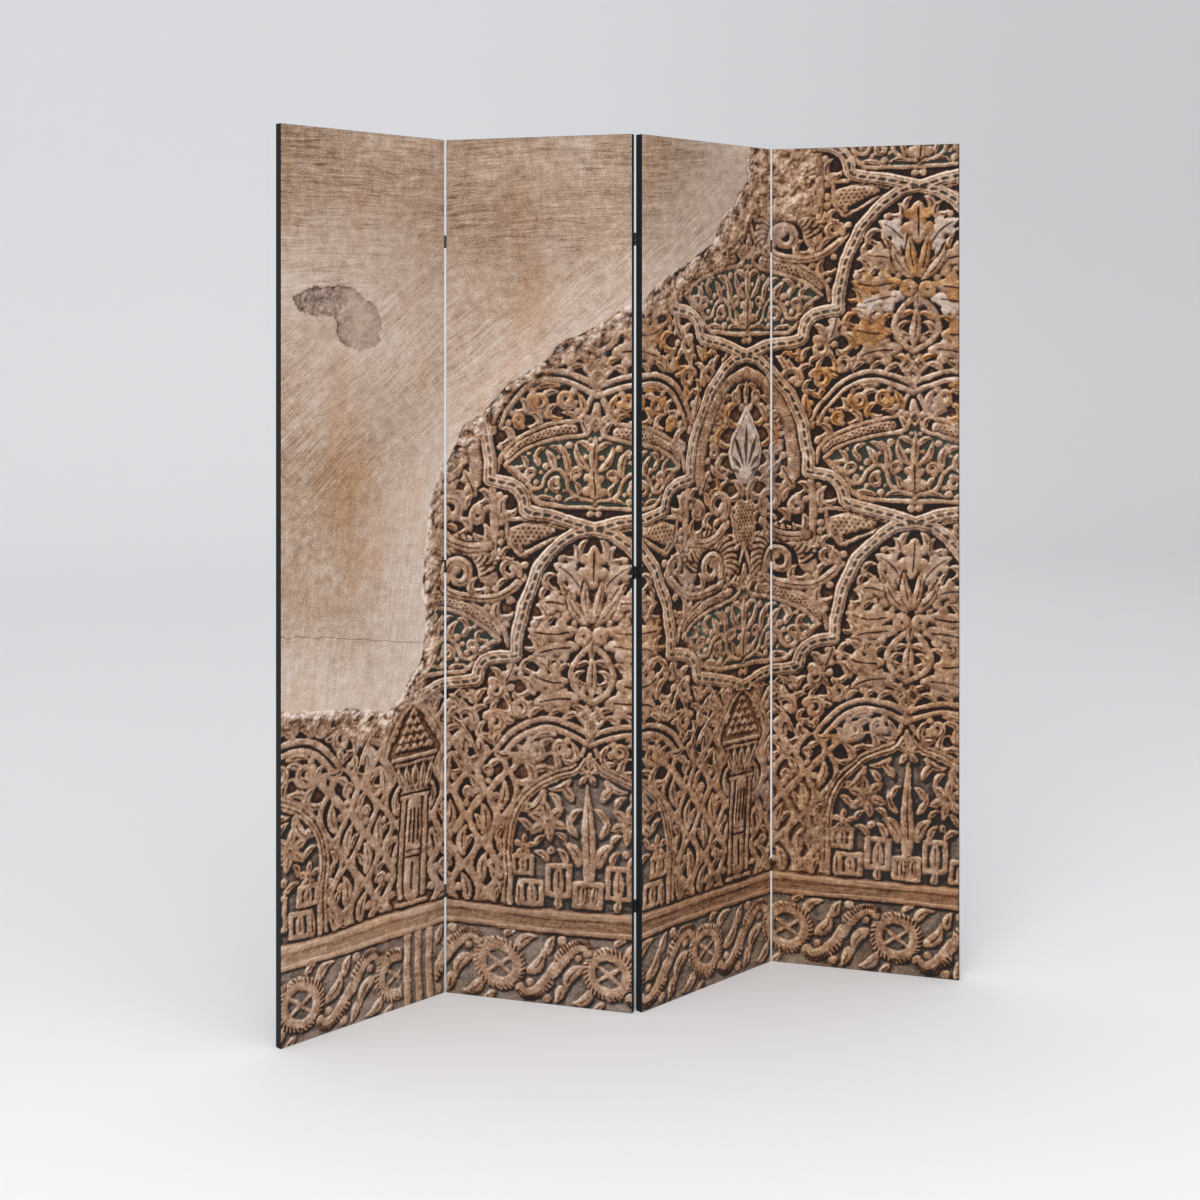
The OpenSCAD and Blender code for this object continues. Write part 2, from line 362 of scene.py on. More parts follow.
def edge_distance(c):
    """Distance of each sample to the bay's outline, positive inside, and the place along the outline."""
    v = np.linspace(0, 2 * TIER, 2400)
    edge = np.stack([half_width(v), v], 1)
    run = running_length(edge)
    gap, along = np.full(c.u.shape, 1e4), np.zeros(c.u.shape)
    for place in np.linspace(0, run[-1], 760):
        point = np.array([np.interp(place, run, edge[:, k]) for k in (0, 1)])
        where = c.window(point[None], 45)
        d = np.hypot(c.u[where] - point[0], c.v[where] - point[1])
        closer = d < gap[where]
        gap[where] = np.where(closer, d, gap[where])
        along[where] = np.where(closer, place, along[where])
    gap = np.minimum(gap, FAR * 2)
    return np.where(np.abs(c.u) < half_width(c.v), gap, -gap), along


def free_distance(taken, step):
    """Distance of every sample to the nearest carved one."""
    rows, columns = (np.arange(n) for n in taken.shape)
    up = np.full(taken.shape, 1e4)
    for k in columns:
        held = np.flatnonzero(taken[:, k])
        if len(held):
            up[:, k] = np.abs(rows[:, None] - held).min(1)
    best = np.full(taken.shape, 1e9)
    for k in columns:
        best = np.minimum(best, (columns - k) ** 2 + up[:, k:k + 1] ** 2)
    return np.sqrt(best) * step


# a void over these radii takes a volute with leaves, a split leaf or one leaf
BOLD, MIDDLING, SMALL = 26, 13, 9
FILL_STRIDE = 2                      # samples skipped where voids are looked for
MOST_FILLS = 420


def fill_voids(c, allowed, rng, largest=38.0, smallest=7.0, gap=0.0, washes=0.2):
    """Fills what is empty with scrolls, leaves and buds that touch what is there."""
    sparse = (slice(None, None, FILL_STRIDE),) * 2
    u, v = c.u[sparse], c.v[sparse]
    free = np.minimum(free_distance(c.raised[sparse] < 0, FILL_STRIDE * c.step), allowed[sparse])
    free = np.minimum(free, u + 1.0)
    for _ in range(MOST_FILLS):
        if free.max() < smallest + gap:
            break
        at_most = np.flatnonzero((free > largest - 1.5) & (free < largest + 0.5))
        if free.max() > largest and len(at_most):
            pick = at_most[np.argmin((v * 0.6 + u).ravel()[at_most])]
        else:
            pick = free.argmax()
        r = min(free.ravel()[pick], largest) - gap
        at = (u.ravel()[pick], v.ravel()[pick])
        hand = 1 if rng.random() < 0.5 else -1
        start, wash = rng.uniform(0, 360), (OCHRE if rng.random() < washes else None)
        way = math.degrees(math.atan2(0.6 * r + 14, hand * 24)) + rng.uniform(-28, 28)
        if r > BOLD:
            volute(c, polar(at, r * 0.30, way + 180), r * 0.78, start, hand, r * 0.30, 1.0, wash)
            for turn, width in ((30 * hand, 0.36), (-40 * hand, 0.30)):
                tip = polar(at, r + 6, way + turn)
                leaf(c, polar(at, r * 0.4, way), tip, r * width, math.copysign(0.2, turn), wash)
        elif r > MIDDLING:
            split_leaf(c, at, r + 1.5, way, hand, wash)
        elif r > SMALL:
            leaf(c, polar(at, r + 4, way + 180), polar(at, r + 4, way), r * 0.74, 0.16 * hand, wash)
        else:
            c.dot(at, r * 0.95)
        free = np.minimum(free, np.hypot(u - at[0], v - at[1]) - r - gap * 0.5)


def cartouche(c):
    """The pointed field at a bay's foot: foliage on a sunk ground, a pitted crescent over it, and a hood."""
    low = [(0, 44), (60, 44), (112, 46), (130, 58), (156, 94), (188, 122)]
    top = eased_through([(188, 122), (160, 146), (120, 165), (70, 180), (32, 187)], 4)
    point = [(18, 194), (9, 216), (0, 252)]
    outline = np.concatenate([low, top[1:], point])
    inside = inside_of(c, outline)
    c.blocked = np.minimum(c.blocked, inside)
    pitted(c, eased_through([(184, 141), (162, 160), (122, 180), (76, 195), (48, 200)], 4), 11.0, 9.0)
    hood = [(206, 112), (196, 146), (166, 174), (122, 197), (74, 212), (44, 218), (26, 234), (13, 262),
            (-2, 300)]
    c.stroke(eased_through(hood, 4), 4.6, over=2.5)
    c.empty(inside < 1)
    c.stroke(outline, 5.0, over=2.5)
    c.stroke([(-6, 44), (6, 44)], 5.0)
    c.sink(inside)
    cartouche_foliage(c)
    fill_voids(c, -inside - 3, np.random.default_rng(3), largest=20, smallest=4.5, gap=2.2, washes=0.0)


def cartouche_foliage(c):
    """A lily between vines that roll up, with leaves in all that is left."""
    lobed_leaf(c, (0, 54), (0, 128), 30)
    leaf(c, (0, 124), (0, 190), 11)
    lozenges(c, [(0, 218)], 14)
    vine = [(6, 58), (30, 62), (50, 76), (58, 100), (78, 116), (100, 102), (112, 78), (132, 76),
            (150, 96), (180, 118)]
    c.stroke(eased_through(vine, 5), 4.6, over=2.0)
    each(volute, c, [((80, 84), 21, 100, -1, 6.5, 0.95, None, 1.5), ((36, 112), 19, 300, 1, 6, 0.95, None, 1.5),
                     ((132, 104), 19, 300, 1, 6, 0.95, None, 1.5)])
    each(leaf, c, [((12, 122), (38, 172), 10, -0.16), ((56, 112), (72, 166), 10, 0.12),
                   ((84, 118), (102, 152), 10, 0.12), ((116, 122), (132, 142), 8, 0.1),
                   ((24, 62), (62, 54), 6, 0.1), ((84, 55), (122, 58), 5, 0.1)])


def tree_bay(c):
    """Over the cartouche two brows meet in a knot, and a tree of blades and lobed leaves fills the arch."""
    tree_brows(c)
    # the knot and the blades
    lozenges(c, [(0, 308), (14, 328), (0, 348)], 15)
    c.stroke(eased_through([(-4, 356), (30, 378), (46, 412), (30, 446), (4, 470)], 5), 6.4, over=3.0)
    leaf(c, (0, 374), (0, 452), 13)
    each(lobed_leaf, c, [((34, 362), (122, 344), 36, 10), ((58, 396), (132, 408), 36, -10, OCHRE)])
    volute(c, (84, 436), 25, 250, 1, 8, 1.0)
    leaf(c, (100, 424), (136, 444), 12, 0.1)
    # berries
    each(lobed_leaf, c, [((34, 468), (126, 452), 34, 8, PALE), ((40, 500), (138, 502), 36, -10, OCHRE)])
    c.dot((20, 488), 19, 3.0, OCHRE)
    leaf(c, (0, 448), (0, 484), 10)
    # the lily at the top
    each(lobed_leaf, c, [((24, 536), (116, 558), 36, 12), ((20, 572), (78, 632), 34, 12, PALE)])
    each(leaf, c, [((10, 514), (54, 580), 14, -0.14, None, 3), ((3, 518), (18, 606), 12, -0.06, OCHRE, 3)])
    lobed_leaf(c, (0, 590), (0, 670), 38, 0, OCHRE)


def tree_brows(c):
    """The two brows, with scrolls outside them and volutes below."""
    brow = [(-8, 276), (0, 281), (34, 296), (80, 307), (124, 300), (164, 276), (196, 240), (212, 206)]
    lobed_leaf(c, (216, 190), (236, 270), 26, -8, OCHRE)
    each(scroll, c, [((270, 304), 31, 220, -1), ((204, 300), 31, 30, 1, OCHRE), ((330, 346), 24, 200, 1),
                     ((262, 362), 25, 120, -1, OCHRE), ((152, 336), 26, 300, -1), ((206, 366), 29, 70, 1)])
    lobed_leaf(c, (186, 384), (168, 436), 20, 5)
    for off in (-9, 9):
        c.stroke(beside(eased_through(brow, 5), off), 5.2, over=3.0)
    each(volute, c, [((62, 262), 25, 200, 1, 7.6, 1.1, OCHRE), ((116, 254), 27, 20, -1, 7.6, 1.1, OCHRE),
                     ((160, 214), 22, 240, 1, 7.6, 1.1, OCHRE)])
    each(leaf, c, [((26, 240), (40, 276), 8, 0.1, OCHRE), ((76, 288), (124, 278), 7, 0.1, OCHRE)])


def shell_bay(c):
    """Over the cartouche volutes with ribbed shells, a field of small pits, and a medallion in an arch."""
    shell_stem(c)
    # the pitted field between two bands
    pitted(c, [(226, 330), (250, 340), (300, 347)], [24, 22, 8], 11)
    field_foot = np.interp(c.u, [206, 236, 262, 300, 352], [330, 292, 300, 326, 344])
    c.empty((c.v < field_foot - 4) & (c.u > 196) & (c.v > 284))
    field_rim = [(206, 366), (212, 322), (236, 296), (262, 306), (300, 330), (346, 348),
                 (300, 360), (250, 370), (206, 368)]
    c.stroke(field_rim, 4.2, over=2.5)
    # posts and hooks under the arch
    c.stroke([(178, 296), (182, 352), (172, 430)], [7, 9, 7], over=3.0)
    pitted(c, [(4, 318), (14, 376)], [22, 18], 10)
    hook = eased_through([(168, 312), (128, 306), (88, 316), (58, 340)], 5)
    c.stroke(hook, 11.0, over=3.0)
    c.cut(hook[2:-2], 1.3)
    each(volute, c, [((82, 384), 42, 235, -1, 12.0, 1.1, None, 3.0),
                     ((144, 372), 26, 90, 1, 9.0, 1.0, None, 2.5)])
    leaf(c, (0, 296), (0, 334), 12)
    lobed_leaf(c, (134, 414), (108, 460), 22, 0)
    # gills round the inside of the arch
    legs = [(165, 442), (164, 482), (150, 550), (118, 620), (70, 673), (0, 702)]
    c.shallow = np.where(inside_of(c, [(170, 400), *legs[1:]]) < 0, 0.7, c.shallow)
    comb(c, eased_through(legs, 8), 17, 44, 7.0, 0.5)
    medallion(c)


def shell_stem(c):
    """A stem that rolls up at both ends, with gills on its back."""
    ribs(c, (104, 250), 44, 84, 0, 178, 17, 3.4, 14)
    ribs(c, (216, 262), 32, 56, 50, 130, 8, 3.2, 10)
    stem = eased_through([(66, 240), (80, 216), (110, 206), (150, 203), (186, 210), (216, 230), (236, 254)], 5)
    c.stroke(stem, 9.0, over=3.0)
    c.cut(beside(stem, 0.5)[3:-3], 1.2)
    each(volute, c, [((104, 252), 42, 205, -1, 10.0, 1.25, None, 3.0),
                     ((212, 266), 28, -20, 1, 8.0, 1.15, None, 3.0)])


def medallion(c):
    """A pale pointed medallion with blades cut in it, and the volutes and leaves that carry it."""
    outline = [(0, 428), (22, 440), (46, 470), (54, 500), (44, 532), (22, 568), (0, 600)]
    inside = inside_of(c, outline)
    c.empty(inside < 8)
    c.raised = np.minimum(c.raised, inside)
    c.groove = np.minimum(c.groove, np.abs(inside + 8) - 1.0)
    c.tint = np.where(inside < 2, PALE, c.tint)
    for a, reach, w in ((90, 100, 5.6), (66, 84, 6.0), (40, 58, 5.4), (12, 42, 4.4)):
        c.cut([polar((0, 456), near, a) for near in (20, reach * 0.66, reach)], [1.2, w, 1.4])
    c.dot((0, 606), 6)
    each(volute, c, [((30, 618), 20, 240, 1, 6.6, 1.1), ((88, 566), 22, 140, -1, 6.6, 1.1),
                     ((96, 500), 20, 60, 1, 6.6, 1.1)])
    each(leaf, c, [((70, 446), (104, 474), 12, -0.1), ((0, 612), (0, 652), 10)])


def draw_bay(drawing, rng):
    """Half of one bay of the net; the other half mirrors it."""
    c = Carving((-12, 0), (COLUMN + 2, 2 * TIER))
    c.edge, c.along = edge_distance(c)
    cartouche(c)
    drawing(c)
    fill_voids(c, np.minimum(c.edge - BAND - 2.5, c.blocked), rng)
    return c


FOOT_LOW, FOOT_HIGH = BASE_Z - 4, 640
PILLAR_HEIGHTS = [BASE_Z, 222, 226, 408, 414, 432, 440, 486, 498, 506, 510, 600]
PILLAR_WIDTHS = [42, 42, 34, 34, 40, 40, 30, 52, 62, 62, 64, 6]     # shaft, capital and the scaled roof over it
VINE_X, VINE_PITCH, VINE_COUNT = 182, 42, 5
CELL_TALL, CELL_HALF = 98, 30       # the almond-shaped cells between two vines


def draw_foot(rng):
    """What stands on the moulding, in half a repeat: a niche, vines, and a pillar at the right."""
    c = Carving((-12, FOOT_LOW), (COLUMN + 12, FOOT_HIGH))
    arch = eased_through([(166, 330), (158, 372), (138, 412), (104, 444), (64, 464), (34, 474)], 4)
    outline = np.concatenate([[(166, BASE_Z), (166, 300)], arch, [(20, 484), (9, 498), (0, 522)]])
    inside = inside_of(c, outline)
    pillar = np.maximum(COLUMN - c.u - np.interp(c.v, PILLAR_HEIGHTS, PILLAR_WIDTHS), c.v - 604)
    c.blocked = np.minimum(c.blocked, pillar - 3)
    foot_vines(c, rng)
    fill_voids(c, np.minimum(np.minimum(c.blocked, inside - 12), FAR), rng)
    c.empty(pillar < 3)
    c.shallow = np.where(pillar < 10, 1.0, c.shallow)
    foot_pillar(c)
    foot_niche(c, outline, inside)
    return c


def foot_vines(c, rng):
    """Vines in chains of almond-shaped cells, wide beside narrow, and what grows in them."""
    up = np.linspace(FOOT_LOW, 600, 44)
    for k in range(VINE_COUNT):
        for hand in (1, -1):
            bow = hand * CELL_HALF * np.sin(np.pi * ((up - BASE_Z) / CELL_TALL + 0.5 * k + 0.25))
            bow = bow + 6 * np.sin(up / 51 + k)
            c.stroke(np.stack([VINE_X + VINE_PITCH * k + bow - 0.14 * np.maximum(up - 400, 0), up], 1), 5.8)
    for k in range(VINE_COUNT):
        for row in range(5):
            middle = BASE_Z + CELL_TALL * (row + 0.25 - 0.5 * (k % 2)) + rng.uniform(-4, 4)
            at = (VINE_X + VINE_PITCH * k + 6 * math.sin(middle / 51 + k) + rng.uniform(-2, 2), middle)
            tilt = rng.uniform(74, 106)
            if (row + k) % 3 == 1:
                volute(c, at, 16, rng.uniform(0, 360), 1 - 2 * (row % 2), 5.6, 1.0)
            else:
                leaf(c, polar(at, 27, tilt + 180), polar(at, 28, tilt), 13, 0.12 - 0.24 * (row % 2))
    each(split_leaf, c, [((176, 520), 34, 60, 1), ((232, 552), 34, 110, -1), ((120, 524), 34, 120, 1),
                         ((70, 548), 34, 80, -1)])


def foot_pillar(c):
    """The half of a pillar at the right edge: mouldings, a panelled shaft, a leafy capital and a scaled roof."""
    right = COLUMN + 12
    for v, half, thick in ((206, 36, 7), (418, 34, 6), (430, 32, 4), (498, 56, 6), (486, 48, 4)):
        c.stroke([(COLUMN - half, v), (right, v)], thick * 0.62, over=1.0)
    c.stroke([(COLUMN - 28, 222), (COLUMN - 28, 410)], 5.0, over=1.5)
    c.stroke([(COLUMN - 2, 226), (COLUMN - 2, 404)], 15.0)
    for start, end, thick in (((COLUMN - 16, 300), (right, 300), 1.8), ((COLUMN - 16, 312), (right, 312), 1.2),
                              ((COLUMN, 236), (COLUMN, 286), 3.0), ((COLUMN - 10, 330), (COLUMN - 10, 392), 2.0),
                              ((COLUMN, 326), (COLUMN, 392), 2.0)):
        c.cut([start, end], thick)
    for off in (0, 16, 32):
        leaf(c, (COLUMN - off * 0.8, 436), (COLUMN - off * 1.35, 482), 8.5, 0.06, over=1)
    ridge = [(COLUMN - 74, 506), (COLUMN - 60, 540), (COLUMN - 30, 584), (COLUMN + 6, 612)]
    c.stroke(eased_through(ridge, 5), 4.6, over=2.0)
    scale = 19
    for row in range(5):
        v = 516 + row * 17
        half = 56 * (1 - row / 5.4)
        for off in np.arange(int(half / scale) + 1) * scale + scale / 2 * (row % 2):
            if off < half:
                c.stroke([(COLUMN - off - 6, v), (COLUMN - off, v + 7), (COLUMN - off + 6, v)], 3.0)


def foot_niche(c, outline, inside):
    """The niche: flowers, a tall blade and framed leaves on a sunk ground."""
    c.empty(inside < 12)
    c.stroke(beside(outline, -13)[:-2], 3.6, over=1.5)
    c.stroke(outline, 6.6, over=3.0)
    c.cut(outline[1:-1], 1.2)
    c.sink(inside)
    c.shallow = np.where(inside < 4, 0.6, c.shallow)
    each(flower, c, [((88, 376), 42, 6, 80), ((0, 474), 30, 5, 90), ((136, 320), 24, 5, 20)])
    each(leaf, c, [((0, 250), (0, 448), 17), ((34, 420), (62, 448), 11, 0.1), ((22, 290), (52, 330), 14, 0.2),
                   ((26, 346), (44, 386), 9, -0.1)])
    for at in ((78, 316), (128, 402)):
        c.dot(at, 8, 2.0)
    for near, far, low, high in ((-4, 26, 206, 250), (40, 84, 226, 286), (98, 140, 206, 250),
                                 (118, 158, 266, 300)):
        middle = (near + far) / 2
        c.stroke([(near, low), (near, high), (far, high), (far, low), (near, low)], 5.4, over=1.5)
        leaf(c, (middle, low + 2), (middle, high + 2), (far - near) * 0.30)
    each(leaf, c, [((60, BASE_Z), (64, 226), 9), ((148, BASE_Z), (146, 256), 8),
                   ((96, 434), (140, 392), 12, -0.2), ((40, 458), (84, 440), 9, -0.16)])
    fill_voids(c, -inside - 9, np.random.default_rng(8), largest=17, smallest=9.2, gap=4.6, washes=0.0)


def draw_frieze():
    """Half a repeat of the frieze: a roundel with a crossed hole, and the comb-edged band that joins the next."""
    c = Carving((-8, 0), (FRIEZE_REPEAT / 2 + 8, FRIEZE_TOP))
    centre = (0, 72)
    c.stroke(spiral(centre, 42, 42, 0, 1.0, 24), 14.0)
    for a in (35, 145, 215, 325):
        c.stroke([centre, polar(centre, 30, a)], [4.2, 3.2])
    for a in np.linspace(-86, 86, 17):
        c.cut([polar(centre, 46, a), polar(centre, 56, a + 6)], 1.7)
    band = bezier((44, 30), (56, 4), (86, 20), (FRIEZE_REPEAT / 2 + 4, 73), 18)
    c.stroke(band, np.linspace(11, 17, 18), over=3.5)
    for k in range(1, 17):
        off = np.array([band[k][1] - band[k - 1][1], band[k - 1][0] - band[k][0]])
        off = off / np.hypot(*off)
        c.cut([band[k] + off * 3, band[k] + off * 15], 1.8)
    each(leaf, c, [((62, 66), (92, 112), 15, -0.2), ((40, 112), (78, 138), 13, 0.2),
                   ((104, 108), (116, 140), 12, 0.1), ((14, 134), (34, 146), 8, 0.1)])
    c.dot((102, 12), 10)
    c.dot((66, 44), 8)
    return c


def value_noise(shape, cell, rng):
    """A smooth random field from -1 to 1 whose features are that many samples wide."""
    knots = rng.uniform(-1, 1, [int(n / cell) + 4 for n in shape])
    places = []
    for n in shape:
        t = np.arange(n) / cell + 0.5
        whole = t.astype(int)
        part = t - whole
        places.append((whole, part * part * (3 - 2 * part)))
    (row, up), (column, across) = places
    rows = knots[row] * (1 - up)[:, None] + knots[row + 1] * up[:, None]
    return rows[:, column] * (1 - across) + rows[:, column + 1] * across


def rough(shape, size, octaves, rng, gain=0.5):
    """Several value noises on top of each other; size is in millimetres."""
    total, scale = np.zeros(shape), 0.0
    for k in range(octaves):
        total += gain ** k * value_noise(shape, max(size / WALL_GRID / 2 ** k, 1.01), rng)
        scale += gain ** k
    return total / scale


def ease(low, high, x):
    t = np.clip((x - low) / (high - low), 0, 1)
    return t * t * (3 - 2 * t)


def blur(field, size):
    """Three running means, which together are close to a Gaussian; size is in millimetres."""
    n = max(1, int(round(size / WALL_GRID)))
    for _ in range(3):
        for axis in (0, 1):
            pad = [(0, 0), (0, 0)]
            pad[axis] = (n + 1, n)
            total = np.cumsum(np.pad(field, pad, mode="edge"), axis)
            length = field.shape[axis]
            high = np.take(total, range(2 * n + 1, 2 * n + 1 + length), axis)
            field = (high - np.take(total, range(length), axis)) / (2 * n + 1)
    return field


def above_line(x, z, line):
    """Distance to a line that runs from left to right, positive above it."""
    line = np.array(line, float)
    gap = np.full(x.shape, 1e9)
    for a, b in zip(line[:-1], line[1:]):
        along = b - a
        t = np.clip(((x - a[0]) * along[0] + (z - a[1]) * along[1]) / (along @ along), 0, 1)
        gap = np.minimum(gap, np.hypot(x - a[0] - t * along[0], z - a[1] - t * along[1]))
    return np.where(z > np.interp(x, line[:, 0], line[:, 1]), gap, -gap)


def read_grid(field, low, step, u, v, nearest=False):
    """A field on a grid of samples, read at the places u, v."""
    fu = np.clip((u - low[0]) / step, 0, field.shape[1] - 1.001)
    fv = np.clip((v - low[1]) / step, 0, field.shape[0] - 1.001)
    iu, iv = fu.astype(int), fv.astype(int)
    du, dv = fu - iu, fv - iv
    if nearest:
        return field[iv + (dv > 0.5), iu + (du > 0.5)]
    return ((field[iv, iu] * (1 - du) + field[iv, iu + 1] * du) * (1 - dv)
            + (field[iv + 1, iu] * (1 - du) + field[iv + 1, iu + 1] * du) * dv)


def read_sheet(c, name, u, v):
    return read_grid(getattr(c, name), c.low, c.step, u, v, nearest=name in ("tint", "along"))


def carved_net(x, z, rng):
    """The net of bays over the moulding, as distances in millimetres on the wall."""
    bays = [draw_bay(drawing, rng) for drawing in (tree_bay, shell_bay)]
    x = x - NICHE_X - LEAN * (z - 500)
    v = z - CROSSING_Z
    own_u = (x + COLUMN) % (2 * COLUMN) - COLUMN
    own_v = v % (2 * TIER)
    own = np.abs(own_u) < half_width(own_v)
    next_u = x % (2 * COLUMN) - COLUMN
    next_v = (v - TIER) % (2 * TIER)
    net = {name: np.zeros(x.shape) for name in ("raised", "groove", "sunk", "tint", "shallow", "edge", "along")}
    for c, here, u, w in ((bays[0], own, own_u, own_v), (bays[1], ~own, next_u, next_v)):
        for name in net:
            net[name][here] = read_sheet(c, name, np.abs(u[here]), w[here])
    # the band: a broad strap, a thin groove along each side and a row of short dashes down the middle
    edge, band = np.abs(net["edge"]), np.abs(net["edge"]) < BAND
    dash = np.hypot(np.maximum(np.abs((net["along"] / 22) % 1 - 0.5) * 22 - 5.2, 0), edge) - 3.0
    net["raised"] = np.minimum(np.where(band, FAR, net["raised"]), edge - 14.0)
    net["groove"] = np.where(band, np.minimum(np.abs(edge - 8.4) - 0.9, dash), net["groove"])
    net["sunk"] = np.where(band, FAR, net["sunk"])
    net["tint"] = np.where(band, 0, net["tint"])
    net["chain"] = np.where(band, dash, FAR)
    net["strap"] = edge - 14.0
    # the foot of the wall
    foot = draw_foot(rng)
    fu = np.abs(own_u)
    in_foot = z < 506 + 98 * ease(COLUMN - 132, COLUMN - 84, fu)
    for name in ("raised", "groove", "sunk", "tint", "shallow"):
        net[name] = np.where(in_foot, read_sheet(foot, name, fu, np.clip(z, BASE_Z - 4, 640)), net[name])
    for name in ("chain", "edge", "strap"):
        net[name] = np.where(in_foot, FAR, net[name])
    return net


MOULDING = ([FRIEZE_TOP - 2, FRIEZE_TOP + 3, 156, 159, 176, 181, 190, 194, BASE_Z],
            [0, 9, 11, 6, 8, 13, 14, 7, 0])
BARS_X, BARS_HALF, BAR_PITCH = 332.0, 42.0, 28.0     # three upright bars in the frieze, at the first joint
COAT_EDGE = [(-50, 642), (60, 634), (140, 614), (250, 606), (300, 640), (342, 740), (346, 880), (360, 1010),
             (400, 1110), (450, 1182), (520, 1258), (640, 1328), (790, 1408), (900, 1482), (1000, 1552),
             (1060, 1630), (1108, 1690), (1135, 1800)]
PATCH_X, PATCH_Z = 140, 1388                         # the flaked patch in the plaster
PATCH_OVALS = ((40, -26, 34, 0.46, 1.25), (46, 46, -8, 0.82, 0.86), (30, 12, 18, 0.8, 0.9))   # radius, place, squeeze
BARE_X, BARE_Z, BARE_R = 1208, 1700, 92              # where the plaster's rim has crumbled furthest, near the top
PRINT_FIELDS = ("raised", "groove", "sunk", "chain", "strap", "tint", "coat", "rim", "wear", "hollow", "shadow",
                "facing", "slant", "dado", "shallow")


def wall_fields():
    """Every field that the print needs, on one sheet of samples over the four panels laid flat."""
    rng = np.random.default_rng(11)
    shape = (int(print_h / WALL_GRID) + 1, int(PANELS * print_w / WALL_GRID) + 1)
    x, z = np.meshgrid(np.arange(shape[1]) * WALL_GRID, np.arange(shape[0]) * WALL_GRID)
    # hand carving wanders a little
    wander_x, wander_z = (6.0 * rough(shape, 170, 1, rng) + 2.6 * rough(shape, 46, 2, rng) for _ in range(2))
    wx, wz = x + wander_x, z + wander_z
    wall = carved_net(wx, wz, np.random.default_rng(12))
    lay_frieze(wall, wx, wz)
    between = ease(13, 18, np.abs(wall["edge"])) * (z > FRIEZE_TOP) + 0.35 * (z <= FRIEZE_TOP)
    wall["raised"] -= (1.0 + 1.4 * rough(shape, 70, 2, rng)) * between
    wall["tint"] *= ease(820, 1150, z) * 0.85 + 0.15
    relief = carved_relief(wall, wz, rng)
    relief = plastered(wall, relief, x, z, rng)
    relief = worn(wall, relief, rng)
    light_up(wall, relief)
    wall["strap"] = np.minimum(wall["strap"], FAR)
    wall["shallow"] = np.maximum(blur(wall["shallow"], 8), 0.8 * wall["wear"] * ease(900, 300, z))
    return {name: wall[name] for name in PRINT_FIELDS}


def lay_frieze(wall, wx, wz):
    """Puts the frieze along the floor, and nothing but the plain moulding over it."""
    frieze = draw_frieze()
    low, in_frieze = wz < BASE_Z, wz < FRIEZE_TOP
    fu = (wx - FRIEZE_X) % FRIEZE_REPEAT
    fu, fz = np.where(fu > FRIEZE_REPEAT / 2, fu - FRIEZE_REPEAT, fu), np.clip(wz, 0, FRIEZE_TOP)
    fz = np.where(fu < 0, FRIEZE_TOP - fz, fz)        # the scroll runs down to the right and up to the left
    for name in ("raised", "groove"):
        wall[name] = np.where(in_frieze, read_sheet(frieze, name, np.abs(fu), fz), np.where(low, FAR, wall[name]))
    bars = in_frieze & (np.abs(wx - BARS_X) < BARS_HALF)
    bar = np.abs((wx - (BARS_X - BARS_HALF)) % BAR_PITCH - BAR_PITCH / 2) - 8.5
    wall["raised"] = np.where(bars, bar, wall["raised"])
    wall["groove"] = np.where(bars, FAR, wall["groove"])
    for name, empty in (("sunk", FAR), ("tint", 0.0), ("chain", FAR), ("edge", FAR), ("strap", FAR),
                        ("shallow", 0.9)):
        wall[name] = np.where(low, empty, wall[name])
    wall["dado"] = wz - FRIEZE_TOP


def carved_relief(wall, wz, rng):
    """Height in millimetres over the deepest ground: the bands stand out most."""
    chip = 1.6 * rough(wz.shape, 9, 3, rng)
    top = ease(2.2, -2.6, wall["raised"] + chip)
    standing = 10.0 + 3.5 * ease(16, 13, np.abs(wall["edge"])) + 2.0 * rough(wz.shape, 60, 2, rng)
    relief = standing * top * (0.78 + 0.22 * ease(-1, -9, wall["raised"]))
    relief -= 3.6 * ease(1.0, -1.4, wall["groove"] + chip * 0.5) * top
    relief -= 3.5 * ease(0, -4, wall["sunk"]) * (1 - top)
    return np.where((wz >= FRIEZE_TOP) & (wz < BASE_Z), np.interp(wz, *MOULDING), relief)


def plastered(wall, relief, x, z, rng):
    """Lays the coat of plaster over the upper left, with its broken rim and its flaked patch."""
    coat = above_line(x, z, COAT_EDGE) + 24 * rough(z.shape, 90, 5, rng, 0.6)
    px, pz = x - PATCH_X, z - PATCH_Z
    ovals = [r - np.hypot((px - u) * squeeze, (pz - v) * rise) for r, u, v, squeeze, rise in PATCH_OVALS]
    patch = np.max(ovals, 0)
    patch += 17 * rough(z.shape, 60, 5, rng, 0.72)
    coat = np.minimum(coat, np.maximum(-patch, 3 - 1.2 * np.maximum(patch, 0)))
    ragged = 20 * rough(z.shape, 34, 4, rng, 0.65)
    wider = 38 * ease(1380, 1600, z) * ease(900, 1000, x)
    rim = ease(-58, -14, coat + ragged + 22 * rough(z.shape, 150, 2, rng) + wider)
    rim = np.maximum(rim, ease(-8, 16, BARE_R - np.hypot(x - BARE_X, (z - BARE_Z) * 0.9) + ragged))
    rim = np.maximum(rim, ease(-8, 0, patch))
    lumps = 0.6 * rough(z.shape, 22, 5, rng, 0.66) + 0.9 * np.abs(rough(z.shape, 46, 3, rng, 0.6)) ** 0.7 - 0.35
    flaked = ease(-8, 6, patch)
    meets = ease(-18, -2, coat + ragged * 0.6) * (1 - flaked)
    smoothed = (0.93 - 0.35 * ease(30, -30, px)) * flaked
    rubble = 12 + 3.4 * flaked + 5.5 * meets + 17 * lumps * (1 - smoothed)
    relief = relief * (1 - rim) + rim * rubble
    relief += (19 + 0.5 * lumps - relief) * ease(-1.5, 1.5, coat)
    wall["coat"], wall["rim"] = coat, rim
    return relief


